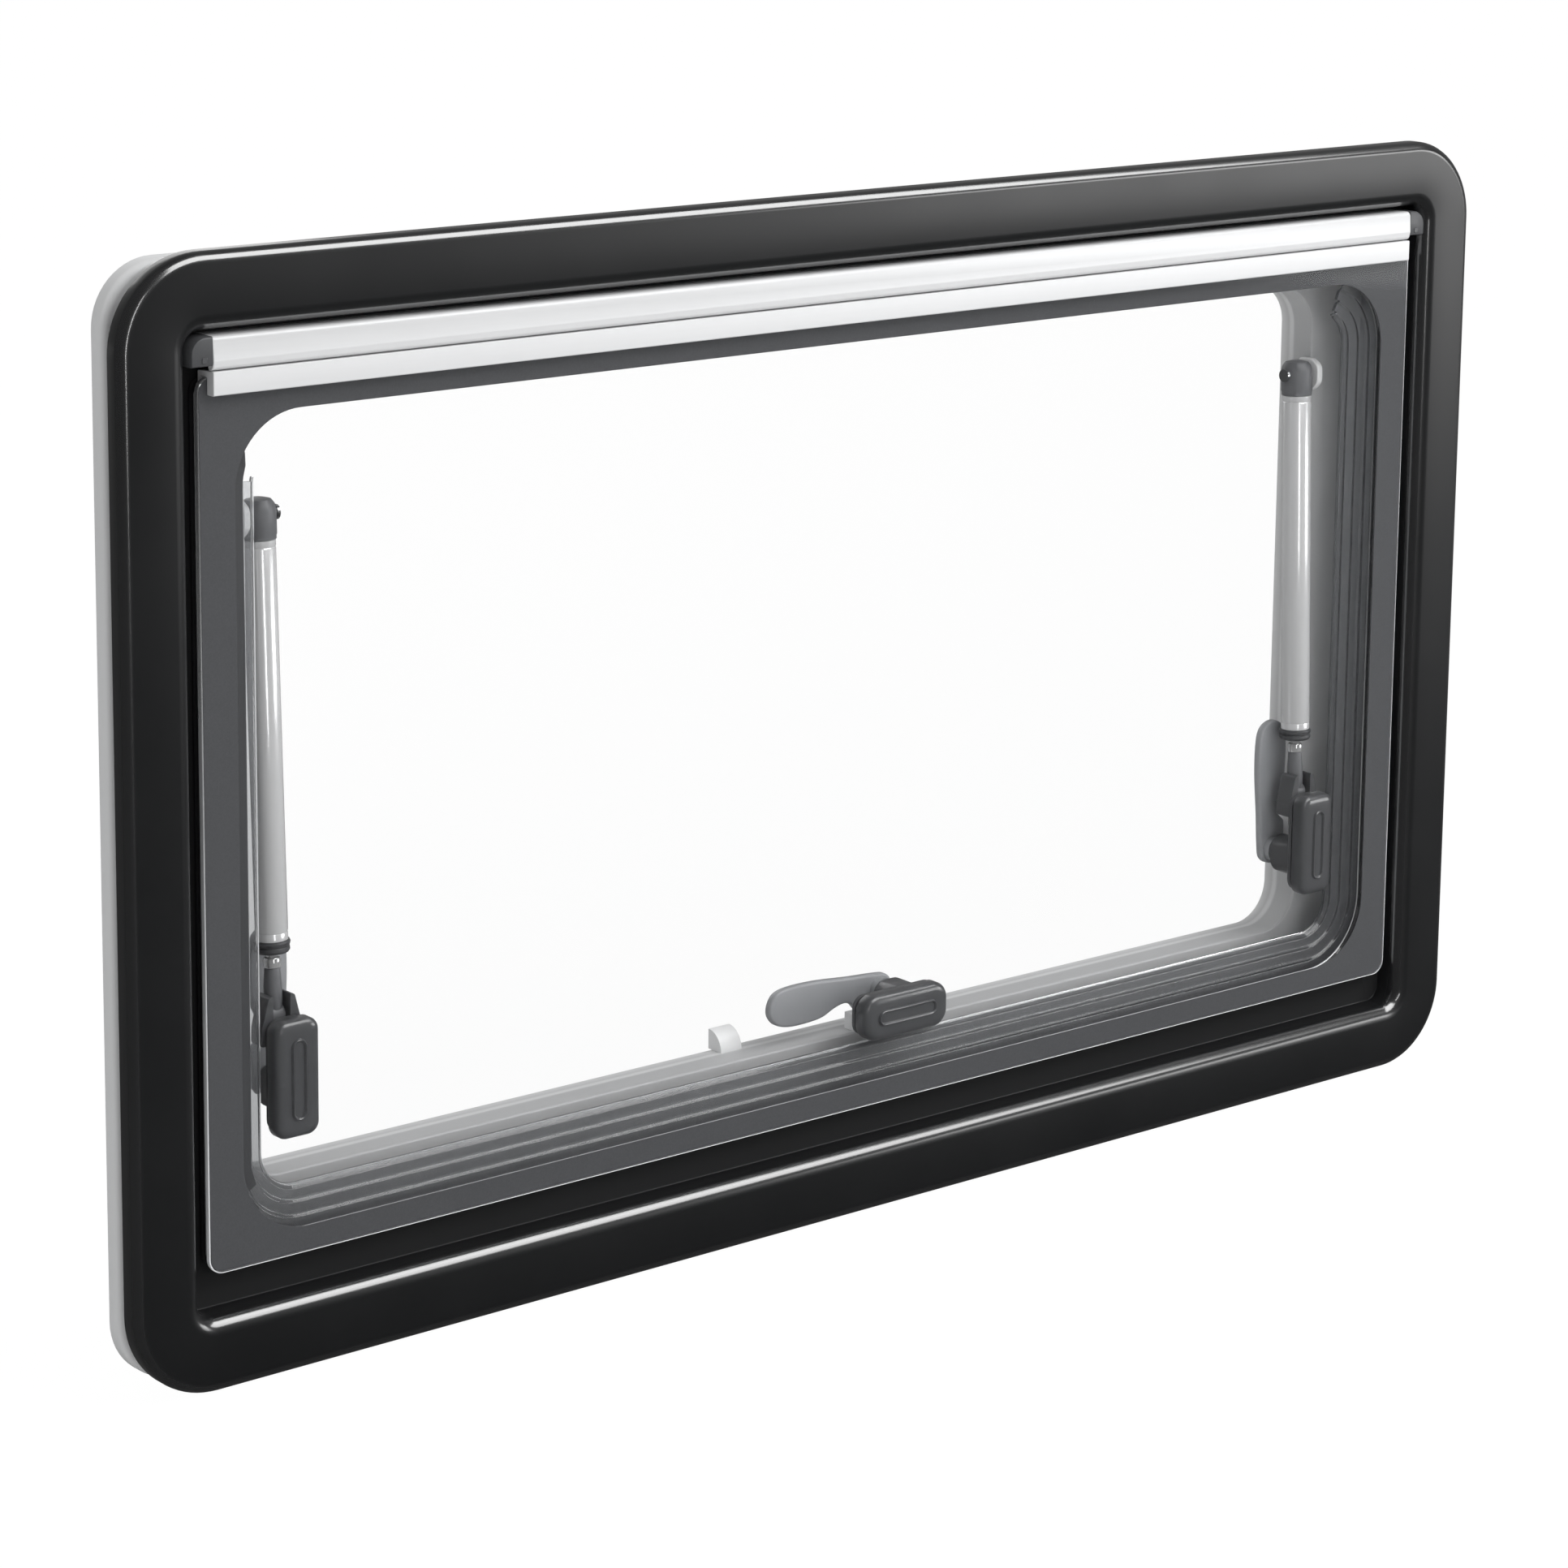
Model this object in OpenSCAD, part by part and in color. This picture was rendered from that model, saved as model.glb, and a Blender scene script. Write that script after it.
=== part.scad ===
// Top-hung caravan window: a double pane in a moulded outer frame, clamped by an inner frame.
// The real one is a moulded foam frame with its cabin side closed by a plastic ring. The panes
// are formed acrylic, bonded round the rim and hung from an aluminium hinge section. Two
// telescopic stays hold the pane open and three turning latches hold it shut.
// Set out below: X runs to the right seen from outside, Z runs up and Y runs into the cabin.
// Heights are measured from the lower edge of the outer frame, depths from its seating face.
// The row's origin is on the seating face, in the middle of the lower strip.

/* [Outer frame] */
// Outside width of the outer frame, mm
frame_width = 900; // [820:1:1000]
// Outside height of the outer frame, mm
frame_height = 550; // [500:1:620]
// Corner radius of the outer edge, mm
corner_radius = 46; // [44:0.5:56]
// Width of the visible face strip, mm
strip_width = 37; // [34:0.5:40]
// Thickness of the strip in front of the wall, mm
strip_depth = 11; // [9.5:0.5:12]
// Width that rests on the wall's outer skin, mm
seat_width = 25; // [22:0.5:26]
// Rounding of the strip's outer edge, mm
outer_round = 5; // [3:0.5:6]
// Rounding of the strip's inner edge, mm
inner_round = 5.5; // [3:0.5:6]
// Wall thickness of the neck in the cut-out, mm
neck_wall = 4; // [3:0.5:5]
// Depth of the neck behind the seating face, mm
neck_depth = 21.5; // [18:0.5:26]

/* [Rebate and seal] */
// Depth of the rebate floor behind the seating face, mm
ledge_depth = 6; // [5:0.25:8]
// Thickness of the rebate floor, mm
ledge_thickness = 3; // [2:0.5:4]
// Reach of the rebate floor inside the face strip at the sides, mm
ledge_side_reach = 15; // [12:0.5:18]
// Reach of the rebate floor inside the face strip at the bottom, mm
ledge_bottom_reach = 27; // [24:0.5:30]
// Reach of the rebate floor inside the face strip at the top, mm
ledge_top_reach = 29; // [25:0.5:32]
// Width of the seal bead, mm
seal_width = 4.5; // [3:0.25:5]
// Gap left between seal and shut pane, mm
seal_gap = 0.1; // [0.05:0.05:0.3]

/* [Sash] */
// Gap between the face strip and the pane at the sides, mm
pane_side_gap = 7.5; // [5:0.5:9]
// Gap between the face strip and the pane at the bottom, mm
pane_bottom_gap = 20; // [6:0.5:22]
// Gap between the face strip and the pane at the top, mm
pane_top_gap = 21.5; // [20:0.5:24]
// Corner radius of the panes, mm
pane_radius = 8; // [4:0.5:12]
// Depth of the outer pane's front, in front of the seating face, mm
pane_front = 5; // [4:0.25:6]
// Thickness of the outer pane, mm
pane_thickness = 3; // [2.5:0.25:4]
// Thickness of the dark bonding strip, mm
bond_thickness = 1.5; // [1:0.25:2]
// Width of the bonding strip at the sides, mm
bond_side = 19; // [16:0.5:22]
// Width of the bonding strip at the bottom, mm
bond_bottom = 12; // [10:0.5:14]
// Width of the bonding strip at the top, mm
bond_top = 18.5; // [16:0.5:22]
// Corner radius of the clear area, mm
clear_radius = 38; // [32:0.5:42]
// Thickness of the inner pane, mm
inner_thickness = 2; // [1.5:0.25:2.5]
// Depth of the cavity between the panes in the middle, mm
cavity_depth = 10; // [8:0.5:12]
// Width of the first step of the formed inner pane, mm
first_step = 2.5; // [2:0.5:4]
// Width of the second step of the formed inner pane, mm
second_step = 6; // [5:0.5:9]

/* [Hinge] */
// Width of the dark cap at each end of the hinge, mm
cap_width = 11.5; // [9:0.5:20]
// Rounding of the cap's upper corner, mm
cap_round = 8; // [4:0.5:9]
// Gap between a hinge cap and the frame, mm
cap_clearance = 1.5; // [0.5:0.25:3]
// Drop of the hinge line below the face strip, mm
hinge_drop = 15.2; // [14:0.1:16]
// Distance of the hinge line in front of the seating face, mm
hinge_front = 7.2; // [7:0.1:7.4]
// Radius of the hinge bead, mm
bead_radius = 2.2; // [1.8:0.1:2.4]
// Gap between the bead and its socket, mm
bead_gap = 0.2; // [0.1:0.05:0.3]
// Wall of the socket round the bead, mm
socket_wall = 1.2; // [1:0.1:1.4]
// Front of the hinge sections, in front of the seating face, mm
rail_front = 10.5; // [9.5:0.25:11]
// Wall thickness of the hinge sections, mm
rail_wall = 2; // [1.5:0.25:2.25]
// Drop of the turning section's top below the hinge line, mm
profile_drop = 4.3; // [4:0.1:5]
// Height of the turning section, mm
profile_height = 11; // [9:0.5:12]
// Rise of the turning section's front lip, mm
profile_lip = 1.3; // [0.5:0.1:1.4]

/* [Inner frame] */
// Inset of the inner frame's outer edge, mm
inner_inset = 4; // [2:0.5:6]
// Corner radius of the inner frame, mm
inner_radius = 32; // [24:0.5:40]
// Depth where the inner frame starts, mm
inner_start = 10; // [8:0.5:12]
// Inset of the inner frame's opening, mm
opening_inset = 85; // [82:0.5:86]
// Corner radius of the inner frame's opening, mm
opening_radius = 24; // [16:0.5:30]
// Depth of the inner frame's cabin face, mm
inner_back = 57; // [50:0.5:66]
// Inset of the inner frame's raised body, mm
body_inset = 36; // [32:0.5:40]
// Wall thickness of the inner frame, mm
inner_wall = 3; // [2:0.5:4]
// Corner radius of the raised body, mm
body_radius = 22; // [12:1:40]
// Width of the lip round the opening's front, mm
lip_width = 40; // [10:1:44]
// Depth of the lip's front, mm
lip_depth = 31; // [26:0.5:33]
// Step from the ring's edge to its flange, mm
ring_step = 12; // [8:1:20]
// Gap between ring and neck, mm
ring_gap = 0.3; // [0.1:0.1:0.6]

/* [Stays] */
// Distance of each stay from the frame's side, mm
stay_inset = 98; // [97:0.5:110]
// Drop of the upper stay pins below the frame's upper edge, mm
stay_top_drop = 134; // [130:1:138]
// Depth of the upper stay pin, mm
stay_top_depth = 29; // [28:0.5:30]
// Rise of the lower stay pin above the latch pad's centre, mm
stay_foot_rise = 28; // [25:0.5:40]
// Depth of the lower stay pin, mm
stay_foot_depth = 20; // [19.5:0.5:21]
// Outside radius of the stay tube, mm
tube_radius = 8.3; // [8:0.1:8.6]
// Wall thickness of the stay tube, mm
tube_wall = 0.7; // [0.5:0.1:0.8]
// Bare run of the stay between collar and lower pin when shut, mm
foot_run = 31; // [30:0.5:40]
// Height of the collar at the tube's lower end, mm
collar_height = 6; // [4:0.5:7]
// Radius of the stay rod, mm
rod_radius = 2.9; // [2.5:0.1:3]
// Free run inside the tube above the rod when shut, mm
rod_top_run = 80; // [60:1:90]
// Radius of the stay pins, mm
pin_radius = 2.5; // [2:0.1:2.8]
// Running gap round the pins, mm
pin_gap = 0.08; // [0.04:0.01:0.1]

/* [Latches] */
// Distance of the side latches' pads from the frame's side, mm
pad_inset = 99; // [98.5:0.5:115]
// Height of the side latches' pads, mm
pad_height = 143; // [142:0.5:144]
// Length of a pad, mm
pad_length = 59; // [54:0.5:61]
// Width of a pad, mm
pad_width = 25; // [22:0.5:25]
// Distance of the lower latch's pad to the right of the middle, mm
low_pad_x = 37; // [20:1:50]
// Height of the lower latch's pad, mm
low_pad_height = 102; // [102:0.5:104]
// Length of a latch lever above its spindle, mm
lever_length = 72; // [60:1:74]
// Half width of the lever's wing towards the middle, mm
wing_in = 10.5; // [8:0.5:14]
// Half width of the lever's wing towards the frame, mm
wing_out = 8.7; // [6:0.1:9]
// Height of the latch tongue, mm
tongue_height = 18; // [12:1:22]
// Thickness of a latch lever, mm
lever_thickness = 5; // [4:0.5:6]
// Depth where the levers start, mm
lever_start = 33; // [32.5:0.5:34]
// Gap between a latch tongue and its catch, mm
catch_gap = 1.2; // [1.1:0.1:1.5]

/* [Blind clip] */
// Distance of the clip to the left of the middle, mm
clip_x = 47; // [20:1:200]
// Length of the clip, mm
clip_length = 14; // [8:1:30]
// Radius of the clip's quarter round, mm
clip_radius = 11; // [6:0.5:14]

/* [Hidden] */
$fn = 64;
eps = 0.01;
bead_web = 0.9 * bead_radius;
slot_wall = 0.75 * rail_wall;
half_width = frame_width / 2;
hinge_height = frame_height - strip_width - hinge_drop;
ledge_side = strip_width + ledge_side_reach;
ledge_bottom = strip_width + ledge_bottom_reach;
ledge_top = strip_width + ledge_top_reach;
pane_side = strip_width + pane_side_gap;
pane_bottom = strip_width + pane_bottom_gap;
pane_top = strip_width + pane_top_gap;
stay_top_height = frame_height - stay_top_drop;
shift_up = -seat_width / 2;
bond_back = -pane_front + pane_thickness + bond_thickness;
inner_flange_back = bond_back + inner_thickness;
cavity_back = -pane_front + pane_thickness + cavity_depth;
inner_back_face = cavity_back + inner_thickness;
clear_left = half_width - pane_side - bond_side;
clear_low = pane_bottom + bond_bottom;
clear_high = frame_height - pane_top - bond_top;
rail_half = half_width - strip_width - cap_clearance - cap_width;
stay_x = half_width - stay_inset;
pad_x = half_width - pad_inset;
stay_foot_height = pad_height + stay_foot_rise;
rail_top = frame_height - strip_width - 2.5;
open_half = half_width - opening_inset;
stay_run = stay_top_height - stay_foot_height;
stay_lean = stay_top_depth - stay_foot_depth;
stay_angle = atan(stay_lean / stay_run);
stay_length = sqrt(stay_run * stay_run + stay_lean * stay_lean);
tube_length = stay_length - foot_run - collar_height;
rod_length = stay_length - rod_top_run;
tube_bore = tube_radius - tube_wall;
rod_end_length = 24;
cap_radius = 9;
cap_drop = 12;
base_back = lever_start - 4;
spindle_gap = 0.15;
pivot_out = 3;
pivot_down = 9;
tongue_reach = 9.6;
side_pivot_x = pad_x - pivot_out;
side_pivot_height = pad_height - pivot_down;
low_pivot_x = low_pad_x + pivot_down;
low_pivot_height = low_pad_height + pivot_out;
side_tip = side_pivot_x + tongue_reach;
low_tip = low_pivot_height - tongue_reach;

// Stands the flat drawing up: flat x, height, forward become X, Z, minus Y.
module stand() {
    rotate([90, 0, 0]) translate([0, shift_up, 0]) children();
}

// Rounded rectangle between left, right, low and high, with corner radius r.
module rounded(left, right, low, high, r) {
    translate([left + r, low]) square([right - left - 2 * r, high - low]);
    translate([left, low + r]) square([right - left, high - low - 2 * r]);
    for (x = [left + r, right - r])
        for (y = [low + r, high - r])
            translate([x, y]) circle(r);
}

// Rounded rectangle inset by i from the frame's outside.
module inset(i, r) {
    rounded(-half_width + i, half_width - i, i, frame_height - i, r);
}

// Plate between two depths behind the seating face.
module slab(from, to) {
    translate([0, 0, -to]) linear_extrude(height = to - from) children();
}

// Section drawn as height and forward, run along X.
module along_x(from, to) {
    translate([from, 0, 0]) rotate([90, 0, 90]) linear_extrude(height = to - from) children();
}

// Section of the face strip: inset across, forward up.
module strip_section() {
    translate([outer_round, 0]) square([strip_width - outer_round - inner_round, strip_depth]);
    square([strip_width, strip_depth - max(outer_round, inner_round)]);
    square([strip_width / 2, strip_depth - outer_round]);
    translate([strip_width / 2, 0]) square([strip_width / 2, strip_depth - inner_round]);
    translate([outer_round, strip_depth - outer_round]) circle(outer_round);
    translate([strip_width - inner_round, strip_depth - inner_round]) circle(inner_round);
}

// The face strip swept round the frame, with true round corners.
module face_strip() {
    long_run = frame_width - 2 * corner_radius;
    high_run = frame_height - 2 * corner_radius;
    translate([0, frame_height / 2, 0]) {
        for (turn = [0, 180])
            rotate([0, 0, turn])
                translate([0, -frame_height / 2, 0])
                    along_x(-long_run / 2, long_run / 2) strip_section();
        for (turn = [90, 270])
            rotate([0, 0, turn])
                translate([0, -half_width, 0])
                    along_x(-high_run / 2, high_run / 2) strip_section();
        for (sx = [-1, 1])
            for (sy = [-1, 1])
                translate([sx * long_run / 2, sy * high_run / 2, 0])
                    rotate([0, 0, sx > 0 ? (sy > 0 ? 0 : 270) : (sy > 0 ? 90 : 180)])
                        rotate_extrude(angle = 90)
                            translate([corner_radius, 0]) mirror([1, 0]) strip_section();
    }
}

module outer_frame() {
    color([0.13, 0.13, 0.14]) stand() {
        face_strip();
        slab(-1, ledge_depth + ledge_thickness) difference() {
            inset(seat_width, corner_radius - seat_width);
            inset(strip_width - 1, corner_radius - strip_width + 1);
        }
        slab(ledge_depth, ledge_depth + ledge_thickness) difference() {
            inset(strip_width - 2, corner_radius - strip_width + 2);
            rounded(-half_width + ledge_side, half_width - ledge_side,
                ledge_bottom, frame_height - ledge_top, 5);
        }
        slab(0, neck_depth) difference() {
            inset(seat_width, corner_radius - seat_width);
            inset(seat_width + neck_wall, corner_radius - seat_width - neck_wall);
        }
    }
}

module inner_ring() {
    color([0.9, 0.9, 0.9]) stand() {
        slab(inner_start, neck_depth) difference() {
            inset(inner_inset, inner_radius);
            inset(seat_width - ring_gap, corner_radius - seat_width + ring_gap);
        }
        slab(neck_depth, neck_depth + inner_wall) difference() {
            inset(inner_inset + ring_step, inner_radius - ring_step + 2);
            inset(body_inset + inner_wall, body_radius - inner_wall);
        }
    }
}

module inner_body() {
    color([0.92, 0.92, 0.92]) stand() {
        slab(neck_depth + inner_wall, inner_back) difference() {
            inset(body_inset, body_radius);
            inset(body_inset + inner_wall, body_radius - inner_wall);
        }
        slab(inner_back - inner_wall, inner_back) difference() {
            inset(body_inset, body_radius);
            inset(opening_inset, opening_radius);
        }
        slab(lip_depth, inner_back) difference() {
            inset(opening_inset - inner_wall, opening_radius + inner_wall);
            inset(opening_inset, opening_radius);
        }
        slab(lip_depth, lip_depth + inner_wall) difference() {
            inset(opening_inset - lip_width, opening_radius + 8);
            inset(opening_inset, opening_radius);
        }
    }
}

module seal_ring() {
    difference() {
        rounded(-half_width + ledge_side - 6, half_width - ledge_side + 6,
            ledge_bottom - 5.5, frame_height - ledge_top + 5.5, 6);
        rounded(-half_width + ledge_side - 6 + seal_width, half_width - ledge_side + 6 - seal_width,
            ledge_bottom - 5.5 + seal_width, frame_height - ledge_top + 5.5 - seal_width, 3);
    }
}

module frame_seal() {
    color([0.06, 0.06, 0.06]) stand() {
        slab(inner_flange_back + rail_wall + 2 * seal_gap, ledge_depth) seal_ring();
        slab(inner_flange_back + seal_gap, ledge_depth) intersection() {
            seal_ring();
            translate([-half_width, 0])
                square([frame_width, hinge_height - profile_drop - profile_height - seal_width]);
        }
    }
}

// Section of the fixed hinge rail: height across, forward up.
module rail_section() {
    floor_height = hinge_height + bead_radius + bead_gap + socket_wall - 0.6;
    difference() {
        union() {
            translate([floor_height, -ledge_depth])
                square([rail_top - floor_height, rail_front + ledge_depth]);
            translate([hinge_height, hinge_front]) circle(bead_radius + bead_gap + socket_wall);
        }
        translate([floor_height + rail_wall, -ledge_depth + rail_wall])
            square([rail_top - floor_height - 2 * rail_wall, rail_front + ledge_depth - 2 * rail_wall]);
        translate([hinge_height, hinge_front]) circle(bead_radius + bead_gap);
        translate([hinge_height, hinge_front])
            polygon([[0, 0], [-bead_radius / 2, 3.6 * bead_radius],
                [-4 * bead_radius, 3.6 * bead_radius], [-4 * bead_radius, -2.7 * bead_radius]]);
    }
}

module hinge_rail() {
    color([0.86, 0.87, 0.88]) stand()
        along_x(-rail_half, rail_half) rail_section();
}

module rail_cap() {
    cap_low = hinge_height - bead_radius / 2;
    color([0.31, 0.32, 0.33]) stand() slab(-rail_front, ledge_depth) translate([rail_half, cap_low]) {
        square([cap_width, rail_top - cap_low - cap_round]);
        square([cap_width - cap_round, rail_top - cap_low]);
        intersection() {
            translate([cap_width - cap_round, rail_top - cap_low - cap_round]) circle(cap_round);
            square([cap_width, rail_top - cap_low]);
        }
    }
}

module rail_cap_right() {
    rail_cap();
}

module rail_cap_left() {
    mirror([1, 0, 0]) rail_cap();
}

// Section of the turning hinge profile: height across, forward up.
module sash_section() {
    low = hinge_height - profile_drop - profile_height;
    high = hinge_height - profile_drop;
    slot_back = -inner_flange_back;
    difference() {
        union() {
            translate([low, slot_back - rail_wall])
                square([high - low, rail_front - slot_back + rail_wall]);
            translate([low, rail_front - rail_wall]) square([high - low + profile_lip, rail_wall]);
            translate([high - eps, hinge_front - bead_web / 2]) square([hinge_height - high, bead_web]);
            translate([hinge_height, hinge_front]) circle(bead_radius);
        }
        translate([low - 1, slot_back])
            square([frame_height - pane_top - low + 1, pane_front - slot_back]);
        translate([low + rail_wall, pane_front + slot_wall])
            square([high - low - 2 * rail_wall, rail_front - rail_wall - pane_front - slot_wall]);
    }
}

module sash_profile() {
    color([0.84, 0.85, 0.86]) stand()
        along_x(-rail_half, rail_half) sash_section();
}

module pane_outline(back) {
    rounded(-half_width + pane_side + back, half_width - pane_side - back,
        pane_bottom + back, frame_height - pane_top, pane_radius);
}

module clear_outline(step_x, step_z) {
    rounded(-clear_left + step_x, clear_left - step_x, clear_low + step_z,
        clear_high - step_z, clear_radius - step_z);
}

module outer_pane() {
    color([0.75, 0.78, 0.8, 0.3]) stand()
        slab(-pane_front, -pane_front + pane_thickness) pane_outline(0);
}

module bond_strip() {
    color([0.2, 0.2, 0.21]) stand()
        slab(-pane_front + pane_thickness, bond_back) difference() {
            pane_outline(1);
            clear_outline(0, 0);
        }
}

module inner_pane() {
    first_in = 0.5 + first_step;
    second_in = first_in + second_step;
    mid_depth = (bond_back + cavity_back) / 2;
    color([0.75, 0.78, 0.8, 0.3]) stand() {
        slab(bond_back, inner_flange_back) difference() {
            pane_outline(2);
            clear_outline(0.5, 0.5);
        }
        slab(bond_back, mid_depth) difference() {
            clear_outline(0.5, 0.5);
            clear_outline(first_in, first_in);
        }
        slab(mid_depth - inner_thickness, mid_depth) difference() {
            clear_outline(first_in - 0.5, first_in - 0.5);
            clear_outline(second_in + inner_thickness, second_in + inner_thickness);
        }
        slab(mid_depth - inner_thickness / 2, inner_back_face) difference() {
            clear_outline(second_in, second_in);
            clear_outline(second_in + inner_thickness, second_in + inner_thickness);
        }
        slab(cavity_back, inner_back_face) clear_outline(second_in + 1, second_in + 1);
    }
}

// Latch pieces in their own drawing: outward is +x, the lever points up +y, spindle at 0, 0.
module pad_shape() {
    slab(-pane_front + pane_thickness, cavity_back)
        translate([pivot_out, pivot_down])
            rounded(-pad_width / 2, pad_width / 2, -pad_length / 2, pad_length / 2, 6);
}

module base_shape() {
    slab(inner_back_face, base_back)
        translate([pivot_out, pivot_down])
            rounded(-pad_width / 2 + 2, pad_width / 2 - 4, -pad_length / 2 + 4, 4, 6);
    slab(inner_back_face, inner_back_face + 3)
        translate([pivot_out, pivot_down])
            rounded(-pad_width / 2 + 1, pad_width / 2 - 1, -pad_length / 2 + 1, stay_foot_rise + 11.5, 5);
}

module lever_shape() {
    slab(base_back + spindle_gap, lever_start + eps) circle(7);
    slab(lever_start, lever_start + lever_thickness) {
        circle(9);
        translate([-9, 0]) square([11, lever_length / 2]);
        rounded(-wing_in, wing_out, lever_length / 3, lever_length, (wing_in + wing_out) / 2 - eps);
        translate([0, -2]) square([tongue_reach, tongue_height]);
    }
}

module button_shape() {
    slab(lever_start + lever_thickness, lever_start + lever_thickness + 3)
        rounded(-5.5, 3.5, lever_length / 2, lever_length - 10, 4);
}

module place_left() {
    translate([-side_pivot_x, side_pivot_height, 0]) mirror([1, 0, 0]) children();
}

module place_right() {
    translate([side_pivot_x, side_pivot_height, 0]) children();
}

module place_lower() {
    translate([low_pivot_x, low_pivot_height, 0]) rotate([0, 0, 90]) mirror([1, 0, 0]) children();
}

module pad_left() {
    color([0.3, 0.31, 0.32]) stand() place_left() pad_shape();
}

module pad_right() {
    color([0.3, 0.31, 0.32]) stand() place_right() pad_shape();
}

module pad_lower() {
    color([0.3, 0.31, 0.32]) stand() place_lower() pad_shape();
}

// Two ears that hold the stay's foot, on the flat drawing at distance stay_x.
module fork_ears() {
    for (side = [-1, 1])
        translate([stay_x + side * 6 - 1.5, 0, 0]) along_x(0, 3) difference() {
            union() {
                translate([stay_foot_height - 6, -stay_foot_depth])
                    square([12, stay_foot_depth - inner_back_face]);
                translate([stay_foot_height, -stay_foot_depth]) circle(6);
            }
            translate([stay_foot_height, -stay_foot_depth]) circle(pin_radius);
        }
}

module latch_base_left() {
    color([0.33, 0.34, 0.35]) stand() {
        place_left() base_shape();
        mirror([1, 0, 0]) fork_ears();
    }
}

module latch_base_right() {
    color([0.33, 0.34, 0.35]) stand() {
        place_right() base_shape();
        fork_ears();
    }
}

module latch_base_lower() {
    color([0.33, 0.34, 0.35]) stand() place_lower() base_shape();
}

module lever_left() {
    color([0.42, 0.43, 0.44]) stand() place_left() lever_shape();
}

module lever_right() {
    color([0.42, 0.43, 0.44]) stand() place_right() lever_shape();
}

module lever_lower() {
    color([0.42, 0.43, 0.44]) stand() place_lower() lever_shape();
}

module button_left() {
    color([0.55, 0.56, 0.57]) stand() place_left() button_shape();
}

module button_right() {
    color([0.55, 0.56, 0.57]) stand() place_right() button_shape();
}

module button_lower() {
    color([0.55, 0.56, 0.57]) stand() place_lower() button_shape();
}

// Stay drawing: X as in the frame, the pin at the origin, the stay's run along +y, forward +z.
module from_foot() {
    translate([stay_x, stay_foot_height, -stay_foot_depth])
        rotate([-stay_angle, 0, 0]) rotate([-90, 0, 0]) children();
}

module from_top() {
    translate([stay_x, stay_top_height, -stay_top_depth])
        rotate([-stay_angle, 0, 0]) rotate([90, 0, 0]) children();
}

module x_pin(from, to, r) {
    translate([from, 0, 0]) rotate([0, 90, 0]) cylinder(h = to - from, r = r);
}

module stay_cap_shape() {
    from_top() difference() {
        rotate_extrude() {
            translate([0, -7.5]) square([cap_radius - 5, cap_drop + 7.5]);
            translate([0, -2.5]) square([cap_radius, cap_drop + 2.5]);
            intersection() {
                translate([cap_radius - 5, -2.5]) circle(5);
                translate([0, -8]) square([cap_radius, 8]);
            }
        }
        x_pin(-cap_radius - 1, cap_radius + 1, pin_radius + pin_gap);
    }
}

module stay_tube_shape() {
    from_top() translate([0, 0, cap_drop]) difference() {
        cylinder(h = tube_length - cap_drop, r = tube_radius);
        translate([0, 0, -1]) cylinder(h = tube_length, r = tube_bore);
    }
}

module stay_collar_shape() {
    from_top() translate([0, 0, tube_length]) difference() {
        cylinder(h = collar_height, r = tube_radius + 0.3);
        translate([0, 0, -1]) cylinder(h = collar_height + 2, r = tube_bore);
    }
}

module stay_rod_shape() {
    from_foot() translate([0, 0, rod_end_length])
        cylinder(h = rod_length - rod_end_length, r = rod_radius);
}

module rod_end_shape() {
    from_foot() difference() {
        union() {
            x_pin(-4, 4, 5);
            cylinder(h = rod_end_length, r1 = 4.4, r2 = 3.6);
        }
        x_pin(-6, 6, pin_radius + pin_gap);
    }
}

module stay_lug_shape() {
    lug_in = stay_x + cap_radius + 0.3;
    along_x(lug_in, open_half) difference() {
        union() {
            translate([stay_top_height - 8, -stay_top_depth - 8]) square([16, 8]);
            translate([stay_top_height, -stay_top_depth]) circle(8);
        }
        translate([stay_top_height, -stay_top_depth]) circle(pin_radius);
    }
}

module upper_pin_shape() {
    translate([stay_x, stay_top_height, -stay_top_depth]) {
        x_pin(-cap_radius - 0.2, open_half - stay_x - 1, pin_radius);
        x_pin(-cap_radius - 1.7, -cap_radius - 0.2, pin_radius + 1.2);
    }
}

module lower_pin_shape() {
    translate([stay_x, stay_foot_height, -stay_foot_depth]) {
        x_pin(-7.5, 8, pin_radius);
        x_pin(-8.7, -7.5, pin_radius + 1);
    }
}

module stay_lug_right() {
    color([0.9, 0.9, 0.9]) stand() stay_lug_shape();
}

module stay_lug_left() {
    color([0.9, 0.9, 0.9]) stand() mirror([1, 0, 0]) stay_lug_shape();
}

module upper_pin_right() {
    color([0.75, 0.76, 0.77]) stand() upper_pin_shape();
}

module upper_pin_left() {
    color([0.75, 0.76, 0.77]) stand() mirror([1, 0, 0]) upper_pin_shape();
}

module lower_pin_right() {
    color([0.75, 0.76, 0.77]) stand() lower_pin_shape();
}

module lower_pin_left() {
    color([0.75, 0.76, 0.77]) stand() mirror([1, 0, 0]) lower_pin_shape();
}

module stay_cap_right() {
    color([0.4, 0.41, 0.42]) stand() stay_cap_shape();
}

module stay_cap_left() {
    color([0.4, 0.41, 0.42]) stand() mirror([1, 0, 0]) stay_cap_shape();
}

module stay_tube_right() {
    color([0.82, 0.83, 0.84]) stand() stay_tube_shape();
}

module stay_tube_left() {
    color([0.82, 0.83, 0.84]) stand() mirror([1, 0, 0]) stay_tube_shape();
}

module stay_collar_right() {
    color([0.35, 0.36, 0.37]) stand() stay_collar_shape();
}

module stay_collar_left() {
    color([0.35, 0.36, 0.37]) stand() mirror([1, 0, 0]) stay_collar_shape();
}

module stay_rod_right() {
    color([0.9, 0.9, 0.92]) stand() stay_rod_shape();
}

module stay_rod_left() {
    color([0.9, 0.9, 0.92]) stand() mirror([1, 0, 0]) stay_rod_shape();
}

module rod_end_right() {
    color([0.38, 0.39, 0.4]) stand() rod_end_shape();
}

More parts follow.
